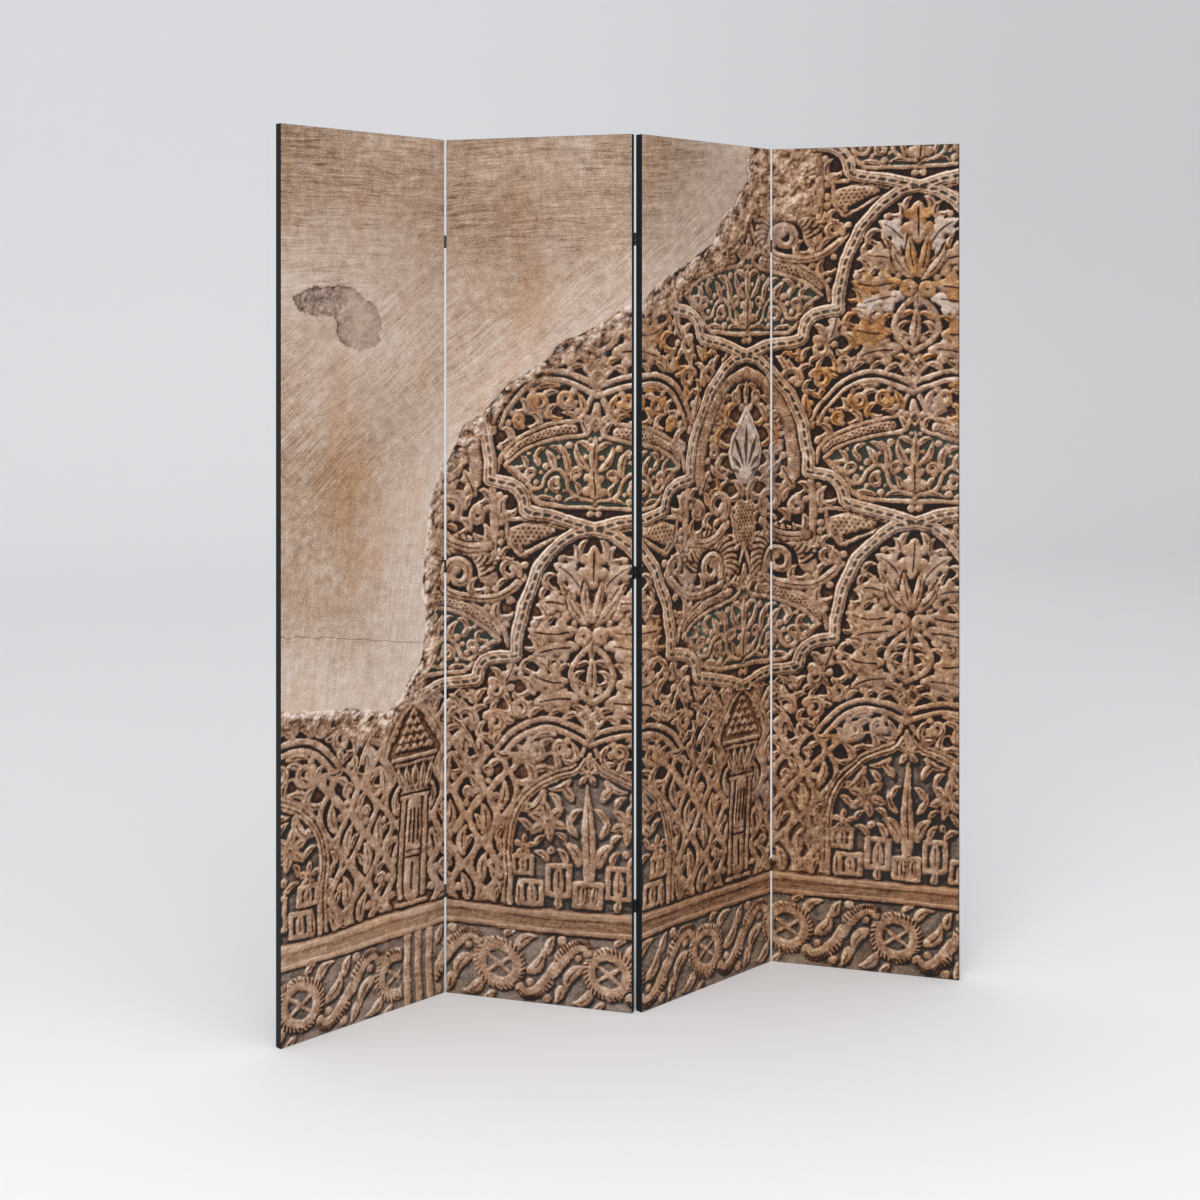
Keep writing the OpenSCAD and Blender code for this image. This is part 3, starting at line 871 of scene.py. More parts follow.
def worn(wall, relief, rng):
    """Rounds the carving off in places and roughens what the plaster doesn't cover."""
    bare = 1 - ease(-1.5, 1.5, wall["coat"])
    wall["wear"] = ease(-0.1, 0.7, rough(relief.shape, 220, 3, rng))
    relief += (blur(relief, 4) - relief) * 0.5 * wall["wear"] * bare
    return relief + (0.8 * rough(relief.shape, 6, 2, rng) + 1.2 * rough(relief.shape, 26, 3, rng)) * bare


def light_up(wall, relief):
    """What the light does that the wall was photographed in; it comes from the upper left."""
    wall["hollow"] = sum(np.clip((blur(relief, size) - relief) * k, -0.06, 0.5)
                         for size, k in ((4, 0.07), (10, 0.05), (26, 0.035)))
    towards = LIGHT[:2] / np.hypot(*LIGHT[:2])
    slope = LIGHT[2] / np.hypot(*LIGHT[:2])
    wall["shadow"] = np.zeros(relief.shape)
    for k in range(1, 13):
        dx, dz = (int(round(k * d)) for d in towards)
        higher = np.roll(relief, (-dz, -dx), (0, 1)) - relief - k * slope * WALL_GRID
        wall["shadow"] = np.maximum(wall["shadow"], ease(0, 5.5, higher))
    dz, dx = np.gradient(blur(wall["raised"], 1.5), WALL_GRID)
    wall["facing"] = np.clip(dx * towards[0] + dz * towards[1], -1, 1)
    dz, dx = np.gradient(relief, WALL_GRID)
    wall["slant"] = (-dx * LIGHT[0] - dz * LIGHT[1] + LIGHT[2]) / np.sqrt(dx ** 2 + dz ** 2 + 1) - LIGHT[2]


# ---------------------------------------------------------------- shader helpers

class Signal:
    """A number that varies over a surface, in one node tree. Sums and products of signals add the nodes."""

    def __init__(self, tree, socket):
        self.tree, self.socket = tree, socket

    def math(self, operation, *others):
        made = node(self.tree, "ShaderNodeMath", {"operation": operation})
        for place, value in enumerate((self, *others)):
            feed(self.tree, made.inputs[place], value)
        return Signal(self.tree, made.outputs[0])

    def __add__(self, other):
        return self.math("ADD", other)

    def __sub__(self, other):
        return self.math("SUBTRACT", other)

    def __mul__(self, other):
        return self.math("MULTIPLY", other)

    def __neg__(self):
        return self.math("MULTIPLY", -1.0)

    __radd__, __rmul__ = __add__, __mul__

    def __rsub__(self, other):
        return -self + other

    def step(self, low, high):
        """0 below low, 1 above high, eased in between."""
        if low > high:
            return 1.0 - self.step(high, low)
        made = node(self.tree, "ShaderNodeMapRange", {"interpolation_type": "SMOOTHSTEP"},
                    {"From Min": low, "From Max": high})
        feed(self.tree, made.inputs["Value"], self)
        return Signal(self.tree, made.outputs["Result"])

    def ramp(self, stops):
        """A colour for each value: stops are (value, sRGB colour)."""
        made = node(self.tree, "ShaderNodeValToRGB")
        feed(self.tree, made.inputs["Fac"], self)
        band = made.color_ramp.elements
        while len(band) < len(stops):
            band.new(1.0)
        for element, (place, colour) in zip(band, stops):
            element.position = place
        for element, (place, colour) in zip(band, stops):
            element.color = paint(colour)
        return made.outputs["Color"]


def feed(tree, socket, value):
    """Links a signal or a socket to an input, or sets the plain value."""
    value = value.socket if isinstance(value, Signal) else value
    if isinstance(value, bpy.types.NodeSocket):
        tree.links.new(value, socket)
    else:
        socket.default_value = value


def node(tree, kind, settings=None, inputs=None):
    made = tree.nodes.new(kind)
    for name, value in (settings or {}).items():
        setattr(made, name, value)
    for name, value in (inputs or {}).items():
        feed(tree, made.inputs[name], value)
    return made


def linear(level):
    return level / 12.92 if level <= 0.04045 else ((level + 0.055) / 1.055) ** 2.4


def paint(colour):
    """An sRGB colour, each part from 0 to 255, as Blender's linear RGBA."""
    return (*(linear(part / 255) for part in colour), 1.0)


def mixed(tree, amount, first, second, blend="MIX"):
    """Two colours mixed by an amount from 0 to 1."""
    made = node(tree, "ShaderNodeMix", {"data_type": "RGBA", "blend_type": blend})
    for place, value in ((0, amount), (6, first), (7, second)):
        feed(tree, made.inputs[place], value)
    return made.outputs[2]


def attribute(tree, name):
    return Signal(tree, node(tree, "ShaderNodeAttribute", {"attribute_name": name}).outputs["Fac"])


def noise(tree, where, scale, detail=2.0, rough=0.5):
    """Noise from -1 to 1, roughly, at a place; scale is in features to a unit of that place."""
    made = node(tree, "ShaderNodeTexNoise", {"noise_dimensions": "3D"},
                {"Vector": where, "Scale": scale, "Detail": detail, "Roughness": rough})
    return Signal(tree, made.outputs["Fac"]) * 2.0 - 1.0


def placed(tree, where, turn=0.0, stretch=(1, 1, 1)):
    """A place turned in its plane by so many degrees, then stretched: features lie along the turned X axis."""
    made = node(tree, "ShaderNodeMapping", {"vector_type": "TEXTURE"},
                {"Vector": where, "Rotation": (0, 0, math.radians(turn)), "Scale": [1 / part for part in stretch]})
    return made.outputs["Vector"]


def moved(tree, operation, first, second):
    """Two places added, or a place scaled by a number."""
    slot = "Scale" if operation == "SCALE" else 1
    made = node(tree, "ShaderNodeVectorMath", {"operation": operation}, {0: first, slot: second})
    return made.outputs["Vector"]


def bump(tree, height, distance, strength):
    made = node(tree, "ShaderNodeBump", {}, {"Strength": strength, "Distance": distance, "Height": height})
    return made.outputs["Normal"]


def shades(tree, tone, dark, light):
    """From a dark to a light sRGB colour by tone."""
    return mixed(tree, tone, paint(dark), paint(light))


def washed(tree, amount, colour, tint):
    """A colour that takes up a tint as far as the amount says, and gets darker by it."""
    return mixed(tree, amount, colour, mixed(tree, 1.0, colour, paint(tint), "MULTIPLY"))


def wire(tree, made, **inputs):
    """Feeds a node's inputs by name."""
    for name, value in inputs.items():
        feed(tree, made.inputs[name.replace("_", " ")], value)


def group(name, inputs, outputs, build):
    """A shader node group; inputs and outputs are (name, kind, value)."""
    tree = bpy.data.node_groups.new(name, "ShaderNodeTree")
    for side, sockets in (("INPUT", inputs), ("OUTPUT", outputs)):
        for label, kind, *value in sockets:
            socket = tree.interface.new_socket(name=label, in_out=side, socket_type=f"NodeSocket{kind}")
            if value:
                socket.default_value = value[0]
    given = tree.nodes.new("NodeGroupInput")
    result = tree.nodes.new("NodeGroupOutput")
    for label, value in build(tree, {s[0]: given.outputs[s[0]] for s in inputs}).items():
        feed(tree, result.inputs[label], value)
    return tree


def use(tree, effect, **inputs):
    """Places a group in a tree and returns its outputs by name."""
    made = node(tree, "ShaderNodeGroup", {"node_tree": effect})
    wire(tree, made, **inputs)
    return {socket.name: Signal(tree, socket) for socket in made.outputs}


def new_material(name, **settings):
    """A material with one Principled shader, and its tree and shader."""
    material = bpy.data.materials.new(name)
    material.use_nodes = True
    tree = material.node_tree
    shader = next(n for n in tree.nodes if n.type == "BSDF_PRINCIPLED")
    wire(tree, shader, **settings)
    return material, tree, shader


def object_place(tree):
    return node(tree, "ShaderNodeTexCoord").outputs["Object"]


def map_place(tree, name):
    """The place in a UV map, and its two parts; the maps here are in metres."""
    where = node(tree, "ShaderNodeUVMap", {"uv_map": name}).outputs["UV"]
    split = node(tree, "ShaderNodeSeparateXYZ", {}, {"Vector": where})
    return where, Signal(tree, split.outputs["X"]), Signal(tree, split.outputs["Y"])


def weave_nodes(tree, given):
    """Plain weave: threads over and under each other, with slubs. Its Shade output is painted shade, darker where a
    thread dips under, plus the slubs' own tone.
    """
    where, count = given["Place"], given["Threads"]
    split = node(tree, "ShaderNodeSeparateXYZ", {}, {"Vector": where})
    wobble = noise(tree, where, 90.0, 2.0) * 0.16
    across = (Signal(tree, split.outputs["X"]) * Signal(tree, count) + wobble) * math.pi
    up = (Signal(tree, split.outputs["Y"]) * Signal(tree, count) + wobble) * math.pi
    warp, weft = (way.math("SINE").math("ABSOLUTE") for way in (across, up))
    over = ((across * 0.5).math("SINE") * (up * 0.5).math("SINE")).step(-0.25, 0.25)
    height = over * warp + (1.0 - over) * weft
    slub = noise(tree, placed(tree, where, stretch=(1, 0.08, 1)), 500.0, 1.0)
    # Shade: painted shade in the dips of the weave, with slub tone
    return {"Height": height + slub * 0.2, "Shade": (height - 0.6) * 0.5 + slub * 0.3}


def wear_nodes(tree, given):
    """Handling marks: broad smudges with fine scratches in them."""
    where = given["Place"]
    smudge = noise(tree, where, 9.0, 5.0, 0.62).step(-0.25, 0.45)
    scratch = noise(tree, placed(tree, where, stretch=(40, 6, 260)), 9.0, 2.0).step(0.20, 0.42)
    return {"Smudge": smudge, "Scratch": scratch * smudge}


def grain_nodes(tree, given):
    """Softwood grain along the local Y of the place given: growth lines, fibres and a few resin flecks."""
    where = given["Place"]
    bend = node(tree, "ShaderNodeTexNoise", {}, {"Vector": placed(tree, where, stretch=(6, 0.8, 6)), "Scale": 1.5,
                                                 "Detail": 2.0}).outputs["Color"]
    bent = moved(tree, "ADD", where, bend)
    rings = node(tree, "ShaderNodeTexWave", {"wave_type": "RINGS", "rings_direction": "Y"},
                 {"Vector": placed(tree, bent, stretch=(1, 0.05, 1)), "Scale": 26.0, "Distortion": 1.2,
                  "Detail": 2.0, "Detail Scale": 1.5}).outputs["Fac"]
    fibre = noise(tree, placed(tree, where, stretch=(1, 0.03, 1)), 1400.0, 2.0)
    fleck = noise(tree, placed(tree, where, stretch=(1, 0.12, 1)), 320.0, 1.0).step(0.45, 0.6)
    return {"Lines": rings, "Fibre": fibre, "Fleck": fleck}


weave = group("plain weave", [("Place", "Vector"), ("Threads", "Float", 1600.0)],
              [("Height", "Float"), ("Shade", "Float")], weave_nodes)
handling = group("handling marks", [("Place", "Vector")], [("Smudge", "Float"), ("Scratch", "Float")], wear_nodes)
grain = group("softwood grain", [("Place", "Vector")],
              [("Lines", "Float"), ("Fibre", "Float"), ("Fleck", "Float")], grain_nodes)


# ---------------------------------------------------------------- the print, as a material
# Tones run from 0, dark, to 1, pale. Places on the print are in metres, distances to the carving in millimetres.

STUCCO = [(0.00, (22, 10, 4)), (0.14, (60, 30, 14)), (0.30, (99, 67, 45)), (0.50, (141, 108, 85)),
          (0.68, (173, 141, 117)), (0.84, (197, 170, 149)), (1.00, (228, 211, 197))]
PLASTER = [(0.12, (96, 70, 52)), (0.38, (148, 120, 97)), (0.60, (179, 154, 133)), (0.78, (200, 180, 164)),
           (1.00, (222, 208, 197))]
MOULDING_H = BASE_Z - FRIEZE_TOP


class PrintNodes:
    """The fields of the print as signals in one tree, with the noises and zones that its parts share."""

    def __init__(self, tree):
        self.tree = tree
        self.place, self.along, self.up = map_place(tree, "Print")
        for name in PRINT_FIELDS:
            setattr(self, name, attribute(tree, name))
        self.speckle = self.noise(430.0, 4.0, 0.75)
        self.crumbs = self.noise(150.0, 5.0, 0.7)
        self.lumps = self.noise(48.0, 4.0, 0.6)
        self.flaking = self.noise(27.0, 4.0, 0.65)
        self.patchy = self.noise(11.0, 4.0, 0.6)
        self.broad = self.noise(7.0, 4.0, 0.6)
        # small irregularities of the chisel, in millimetres
        self.chip = self.noise(120.0, 4.0, 0.6) * 2.6 + self.noise(38.0, 2.0) * 2.0
        self.edge = self.raised + self.chip * (0.8 + self.wear * 0.8)
        self.top = self.edge.step(1.5, -1.3) * (1.0 - self.rim)
        self.sharp_light = self.edge.step(-4.0, -0.5)
        self.on_strap = self.strap.step(1.0, -1.0)
        self.ledge = self.dado.step(-1.0, 1.0) * self.dado.step(MOULDING_H + 0.5, MOULDING_H - 2.0)
        self.low_wall = self.up.step(0.80, 0.42)
        self.soft_light = 1.0 - self.low_wall * 0.36
        self.in_patch = self.along.step(0.32, 0.27) * self.up.step(1.20, 1.26)
        self.darker = self.along.step(0.76, 0.86) * (0.6 + self.up.step(0.9, 0.4) * 0.5)    # the right half

    def noise(self, scale, detail, rough=0.5):
        return noise(self.tree, self.place, scale, detail, rough)


def top_tone(p):
    """Tops of the carving: lit and shaded along their edges, and cut by grooves."""
    round_light = p.edge.step(-11.0, -1.0)
    groove = (p.groove + p.chip * 0.4).step(1.4, -0.9)
    tone = (0.54 + p.facing * (round_light * 0.28 + p.sharp_light * (0.46 - p.wear * 0.14)) * p.soft_light
            - groove * (0.42 - p.wear * 0.14) + p.crumbs * (0.34 + p.wear * 0.10) + p.lumps * 0.46
            + p.speckle * 0.30 - p.shadow * 0.26)
    return tone + p.on_strap * (p.up.step(0.5, 1.0) * 0.04 + 0.06)


def ground_tone(p):
    """The ground between the carving, darkest close beside it."""
    return (0.375 + p.shallow * 0.17 + p.sunk.step(0.0, -5.0) * 0.06 + p.slant * 0.34 + p.crumbs * 0.32
            + p.lumps * 0.28 + p.speckle * 0.26 - p.shadow * (0.40 - p.low_wall * 0.10)
            - p.edge.step(5.0, 0.0) * (0.10 - p.low_wall * 0.07) + p.wear * 0.06)


def ledge_tone(p):
    """The moulding, streaked along its length and paler at the left."""
    streak = noise(p.tree, placed(p.tree, p.place, 0.0, (0.5, 9.0, 1.0)), 34.0, 4.0, 0.65)
    return (0.565 + p.slant * 0.42 + streak * 0.34 + p.crumbs * 0.24 + p.speckle * 0.22 + p.lumps * 0.20
            - p.shadow * 0.12 + p.along.step(0.42, 0.30) * 0.10)


def rubble_tone(p):
    """The broken rim of the plaster coat and the flaked patch, which is smooth but for its left end."""
    flakes, outside = p.along.step(0.19, 0.11) * p.in_patch, 1.0 - p.in_patch
    grain_size = 1.0 - p.in_patch * 0.6 + flakes * 0.7
    tone = (0.67 + p.slant * 0.62 + (p.crumbs * 0.56 + p.lumps * 0.44 + p.speckle * 0.40) * grain_size
            - p.shadow * 0.24 + outside * p.coat.step(-30.0, -2.0) * 0.18
            - flakes * 0.16 - p.in_patch * 0.02 + outside * p.crumbs.step(0.16, 0.34) * 0.12)
    return tone + (p.up + p.along * 0.6).step(1.36, 1.16) * (p.lumps * 0.5 + 0.5).step(0.3, 0.6) * 0.09


def wall_tone(p):
    """Everything that isn't under the plaster, with its hollows, chipped edges and the light on each part."""
    tone = p.top * top_tone(p) + (1.0 - p.top) * ground_tone(p)
    tone = tone + p.ledge * (ledge_tone(p) - tone)
    tone = tone + p.rim * (rubble_tone(p) - tone) - p.hollow * 0.45 + p.broad * 0.18
    nick = (p.speckle * 0.7 + p.crumbs + p.lumps * 0.4).step(0.16, 0.36) * (p.sharp_light * 0.7 + 0.3) * p.top
    tone = tone + nick * p.soft_light * 0.40
    grains = (p.speckle + p.crumbs * 0.5).step(0.20, 0.42) * p.low_wall * (1.0 - p.rim)
    pits = (p.speckle + p.lumps * 0.4).step(-0.24, -0.44) * p.low_wall
    tone = tone + grains * (p.top * 0.10 + 0.12) - pits * 0.12
    middle = p.along.step(0.38, 0.46) * p.along.step(1.192, 1.188)       # the second and third panels
    tone = tone - middle * (1.0 - p.darker * 0.1) * 0.026
    return tone + p.darker * (tone * 0.12 - 0.125) - p.up.step(0.7, 0.3) * p.dado.step(0.0, 60.0) * 0.03


def wall_colour(p):
    """The wall's tone as stucco, with what is left of its paint, and the dust and stains of age."""
    tree, tone = p.tree, wall_tone(p)
    ground, carved = 1.0 - p.top, 1.0 - p.rim.math("MAXIMUM", p.ledge)
    colour = tone.ramp(STUCCO)

    # washes on leaves and straps, green and slate on the sunk grounds, dark dashes along the bands
    ochre = p.tint.math("MAXIMUM", 0.0) * (p.patchy + p.flaking + 0.20).step(-0.1, 0.35) * (p.top * carved)
    pale = (-p.tint).math("MAXIMUM", 0.0) * (p.patchy + 0.25).step(-0.2, 0.3) * (p.top * carved)
    pale = pale + p.on_strap * (p.top * carved) * p.up.step(0.45, 0.9) * (p.patchy * 0.6 + 0.16)
    colour = washed(tree, ochre * 0.80, colour, (255, 222, 150))
    chalky = shades(tree, (tone * 1.3).math("MINIMUM", 1.0), (96, 74, 64), (232, 218, 210))
    colour = mixed(tree, pale * 0.62, colour, chalky)
    verdigris = shades(tree, (tone * 2.0).math("MINIMUM", 1.0), (52, 57, 50), (162, 164, 148))
    slate = shades(tree, (tone * 1.8).math("MINIMUM", 1.0), (44, 43, 44), (152, 147, 142))
    painted = ground * p.sunk.step(0.0, -5.0) * carved * (p.up.step(0.50, 0.75) * 0.38 + 0.36 + p.patchy * 0.5)
    painted = painted + ground * p.dado.step(0.0, -3.0) * (p.patchy * 0.5 + 0.42)
    colour = mixed(tree, painted, colour, mixed(tree, p.low_wall * 0.85, verdigris, slate))
    dashes = p.chain.step(0.8, -0.6) * carved * (p.patchy * 0.4 + 0.6)
    colour = mixed(tree, dashes * 0.8, colour, shades(tree, tone, (24, 32, 26), (112, 122, 104)))

    # warm stains, and pale dust and lime
    colour = washed(tree, p.darker * 0.6 + p.flaking.step(0.0, 0.5) * ground * 0.5, colour, (255, 244, 226))
    colour = washed(tree, (p.broad * 0.5 + p.patchy * 0.5).step(0.05, 0.5) * 0.40, colour, (255, 222, 205))
    golden = p.noise(4.3, 4.0, 0.6).step(-0.05, 0.35) * (1.0 - p.rim * 0.6)
    colour = washed(tree, golden * 0.45, colour, (255, 234, 188))
    dusty = p.noise(6.1, 4.0, 0.6).step(0.10, 0.45) * p.top
    limed = p.coat.step(-190.0, -20.0) * p.flaking.step(-0.05, 0.40) * p.top * (1.0 - p.rim)
    colour = mixed(tree, dusty * 0.22 + limed * 0.34, colour, paint((190, 170, 160)))
    crumbled = p.rim * (1.0 - p.in_patch) * p.coat.step(-40.0, -4.0) * (p.lumps * 1.2 + 0.35).step(0.1, 0.6)
    colour = mixed(tree, crumbled * 0.55, colour, shades(tree, tone, (84, 66, 56), (232, 218, 208)))
    return mixed(tree, p.in_patch * p.rim * 0.6, colour, shades(tree, tone, (72, 54, 46), (212, 190, 178)))


def float_marks(tree, where, turn):
    """Marks of the plasterer's float: broad sweeps, fine lines in them, a few dark furrows and bright ridges."""
    def lines(off, stretch, scale, detail, rough=0.6):
        return noise(tree, placed(tree, where, turn + off, (*stretch, 1.0)), scale, detail, rough)

    furrow = lines(0.0, (0.45, 13.0), 9.0, 2.0).math("ABSOLUTE").step(0.07, 0.01)
    bright = lines(3.0, (0.5, 12.0), 15.0, 2.0).step(0.22, 0.50)
    return (lines(0.0, (0.6, 6.0), 7.0, 3.0) * 0.13 + lines(0.0, (0.8, 12.0), 22.0, 3.0, 0.7) * 0.40
            + lines(90.0, (0.7, 9.0), 24.0, 2.0) * 0.11 - furrow * 0.19 + bright * 0.20)


def float_strokes(p, upright):
    """The float's marks, level at the top, slanting below and nearly upright at the foot of the coat."""
    tree, drift = p.tree, p.drift
    waves = node(tree, "ShaderNodeTexNoise", {}, {"Vector": p.place, "Scale": 5.0, "Detail": 3.0})
    bent = moved(tree, "ADD", p.place, moved(tree, "SCALE", waves.outputs["Color"], 0.028))
    slanting = (p.up - p.along * 0.22 + drift).step(1.50, 1.28)
    strokes = float_marks(tree, bent, 2.0)
    strokes = strokes + slanting * (float_marks(tree, bent, 37.0) - strokes)
    strokes = strokes + upright * (float_marks(tree, bent, 82.0) * 0.55 - strokes)
    return strokes * (0.90 + p.noise(8.0, 3.0, 0.6) * 1.3).math("MAXIMUM", 0.25)


def plaster_colour(p):
    """The plaster coat: strokes of the float, pits, a water stain, rosy blooms and one crack."""
    tree = p.tree
    p.drift = p.noise(2.4, 4.0) * 0.30
    upright = (p.up - p.along * 0.35 + p.drift).step(1.10, 0.82)
    cloud, grit = p.noise(3.2, 6.0, 0.62), p.noise(330.0, 3.0, 0.75)
    pit = (p.noise(120.0, 2.0, 0.6) + grit * 0.35 + cloud * 0.2).step(0.42, 0.56)
    pale_edge = (p.coat + cloud * 120.0).step(230.0, 20.0)
    tone = (0.555 + float_strokes(p, upright) * 0.85 + cloud * 0.32 + p.noise(46.0, 5.0, 0.7) * 0.38 + grit * 0.60
            + p.slant * 0.35 + pale_edge * (0.12 + upright * 0.12) - p.hollow * 0.10 - pit * 0.40
            - p.up.step(1.15, 1.6) * 0.07 - p.along.step(0.76, 0.84) * 0.05)
    colour = tone.ramp(PLASTER)
    stain = noise(tree, placed(tree, p.place, 86.0, (0.35, 1.0, 1.0)), 7.5, 5.0, 0.65)
    wet = (p.along - 0.15).math("ABSOLUTE").step(0.14, 0.03) * p.up.step(0.74, 0.90) * p.up.step(1.40, 1.15)
    colour = washed(tree, (stain + wet * 0.14).step(-0.04, 0.44) * 0.62, colour, (244, 216, 178))
    rosy = pale_edge.math("MAXIMUM", p.noise(4.1, 4.0, 0.55).step(0.0, 0.4) * 0.7)
    colour = mixed(tree, rosy * 0.40, colour, mixed(tree, 0.5, colour, paint((212, 196, 190))))
    crack = p.up + p.along * 0.155 - 0.783 + p.noise(14.0, 5.0, 0.6) * 0.014
    return mixed(tree, crack.math("ABSOLUTE").step(0.0011, 0.0003) * 0.75, colour, paint((74, 52, 38)))


def printed_canvas_material():
    """The print on its weave, with black paint on the turned sides and back, just over the edge of the print."""
    material, tree, shader = new_material("Printed canvas", Roughness=0.72, Specular_IOR_Level=0.25)
    p = PrintNodes(tree)
    coated = (p.coat + p.chip * 0.5).step(-0.8, 0.8)
    colour = mixed(tree, coated, wall_colour(p), plaster_colour(p))
    black = (attribute(tree, "bare") + p.noise(60.0, 2.0) * 0.04).step(0.46, 0.54)
    threads = use(tree, weave, Place=p.place, Threads=1500.0)
    # the black edges carry the weave's painted shade
    edging = shades(tree, threads["Shade"] * 0.5 + 0.3, (16, 18, 21), (38, 40, 44))
    colour = mixed(tree, black, colour, edging)
    # painted shade of the weave darkens the print a little in the thread dips
    colour = mixed(tree, threads["Shade"].math("ABSOLUTE") * 0.10, colour, paint((70, 60, 52)), "MULTIPLY")
    wire(tree, shader, Base_Color=colour, Roughness=0.70 + p.speckle * 0.05 + black * 0.08,
         Normal=bump(tree, threads["Height"], 0.00022, 0.5))
    return material


def soft_black_cloth_material(cloth_w, cloth_h):
    """Black lining cloth with a stitched hem, the creases it was folded in, and pulls along its edges, with painted
    highlights on the creases, painted light and shade on the pulls, and painted shade at the hem's edge.
    """
    material, tree, shader = new_material("Black backing cloth", Roughness=0.9, Sheen_Weight=0.25,
                                          Sheen_Roughness=0.5)
    where, x, y = map_place(tree, "Cloth")
    threads = use(tree, weave, Place=where, Threads=900.0)
    marks = use(tree, handling, Place=where)
    lint = noise(tree, placed(tree, where, 25, (1, 0.2, 1)), 700.0, 2.0).step(0.46, 0.60)
    fade = noise(tree, where, 4.0, 4.0, 0.6)
    from_middle = [(x - cloth_w / 2).math("ABSOLUTE"), (y - cloth_h / 2).math("ABSOLUTE")]
    rim = (cloth_w / 2 - from_middle[0]).math("MINIMUM", cloth_h / 2 - from_middle[1])
    seam = (rim - 0.0105).math("ABSOLUTE").step(0.0009, 0.0003)
    stitch = seam * ((x + y) * (math.pi / 0.0045)).math("SINE").step(-0.2, 0.2)
    hem_edge = (rim - 0.0125).math("ABSOLUTE").step(0.0012, 0.0002)
    quarters = ((y - cloth_h / 2) * (4 / cloth_h)).math("PINGPONG", 0.5) * (cloth_h / 4)
    crease = from_middle[0].math("MINIMUM", quarters) + noise(tree, where, 12.0, 3.0) * 0.002
    fold = crease.math("ABSOLUTE").step(0.006, 0.0) * noise(tree, where, 5.0, 2.0).step(-0.5, 0.3)
    pull = noise(tree, placed(tree, where, 0, (3.0, 16.0, 1.0)), 4.0, 3.0, 0.6) * rim.step(0.09, 0.0)
    # painted shade of the weave, painted highlight on the creases, painted light and shade on the pulls, painted
    # shade along the hem's edge
    shade = (threads["Shade"] * 0.6 + 0.35 + fade * 0.26 + marks["Smudge"] * 0.12
             + fold * 0.30 + pull * 0.5 - hem_edge * 0.5 + stitch * 0.5)
    colour = mixed(tree, lint * 0.4, shades(tree, shade, (20, 21, 24), (64, 65, 69)), paint((120, 118, 114)))
    height = threads["Height"] + fade * 1.5 + fold * 3.0 + pull * 4.0
    wire(tree, shader, Base_Color=colour, Roughness=0.86 + fade * 0.06, Normal=bump(tree, height, 0.0004, 0.8))
    return material


def wood_material(name, early, late, turn=None):
    """Planed wood whose grain runs up the bar, or along the direction in plan to which the bar is turned."""
    material, tree, shader = new_material(name, Roughness=0.62)
    where = object_place(tree)
    if turn is None:
        upright = {"Vector": where, "Rotation": (math.pi / 2, 0, 0)}
        where = node(tree, "ShaderNodeMapping", {}, upright).outputs["Vector"]
    else:
        where = placed(tree, where, 90 - turn)
    figure = use(tree, grain, Place=where)
    lines, fibre = figure["Lines"], figure["Fibre"]
    colour = shades(tree, lines.step(0.1, 0.9), early, late)
    colour = mixed(tree, figure["Fleck"] * 0.35, colour, paint((120, 78, 44)))
    colour = washed(tree, fibre.step(-0.6, 0.6) * 0.25, colour, (225, 205, 180))
    wire(tree, shader, Base_Color=colour, Roughness=0.58 + fibre * 0.08 + lines * 0.06,
         Normal=bump(tree, fibre + lines * 0.8, 0.0002, 0.5))
    return material


def metal_material(name, dark, light, metallic, rough):
    """Drawn or pressed metal with fine pitting and handling marks; dark and light are its range of colour."""
    material, tree, shader = new_material(name, Metallic=metallic)
    where = object_place(tree)
    marks = use(tree, handling, Place=where)
    smudge, scratch = marks["Smudge"], marks["Scratch"]
    pits = noise(tree, where, 1800.0, 3.0, 0.6)
    colour = shades(tree, smudge * 0.6 + pits * 0.25 + 0.1, dark, light)
    colour = mixed(tree, scratch * 0.5, colour, mixed(tree, 1.0, colour, paint((255, 255, 255)), "ADD"))
    colour = mixed(tree, scratch * 0.35, colour, paint(light))
    wire(tree, shader, Base_Color=colour, Roughness=rough + smudge * 0.12 + pits * 0.06,
         Normal=bump(tree, pits - scratch * 0.5, 0.00006, 0.4))
    return material


# ---------------------------------------------------------------- the sheets

CANVAS_FACES = 88000      # faces in the front of one printed canvas
COARSER = 1.6             # rows over the carving are this much further apart
EDGE_ROUND = 1.1          # radius to which the canvas turns over the bars
FRONT_STEPS, BACK_STEPS = 3, 2         # facets in that turn, in front and behind
RETURN_W = 25.0           # width of canvas turned on to the back
CARVED_TOP = (740, 1430, 1760, 1760)   # height on each panel under which there is carving


def row_heights(panel, top):
    """Heights of the rows of the front, closer together where there is carving, and the number of columns."""
    top = min(top, panel.height)
    spacing = math.sqrt(panel.width * (top + (panel.height - top) / COARSER) / CANVAS_FACES)
    fine = int(top / spacing)
    coarse = int((panel.height - top) / spacing / COARSER)
    low, high = EDGE_ROUND, panel.height - EDGE_ROUND
    rows = np.linspace(low, min(top, high), fine + 1)
    if coarse:
        rows = np.concatenate([rows, np.linspace(top, high, coarse + 1)[1:]])
    return rows, int(panel.width / spacing)


def turned_over(bm, layer, panel, outward, backward, bare):
    """Extrudes the open edge of the canvas outward and backward; bare says how black the new edge is."""
    open_edges = [e for e in bm.edges if e.is_boundary]
    grown = bmesh.ops.extrude_edge_only(bm, edges=open_edges)["geom"]
    run = math.hypot(outward, backward)
    for v in (g for g in grown if isinstance(g, bmesh.types.BMVert)):
        flat = v[layer].copy()
        for axis, limit in ((0, panel.width), (2, panel.height)):
            if on_rim(flat, axis, limit):
                side = 1 if v.co[axis] > limit / 2 else -1
                v.co[axis] += side * outward
                flat[axis // 2] += side * run
        v.co.y += backward
        flat.z = bare
        v[layer] = flat


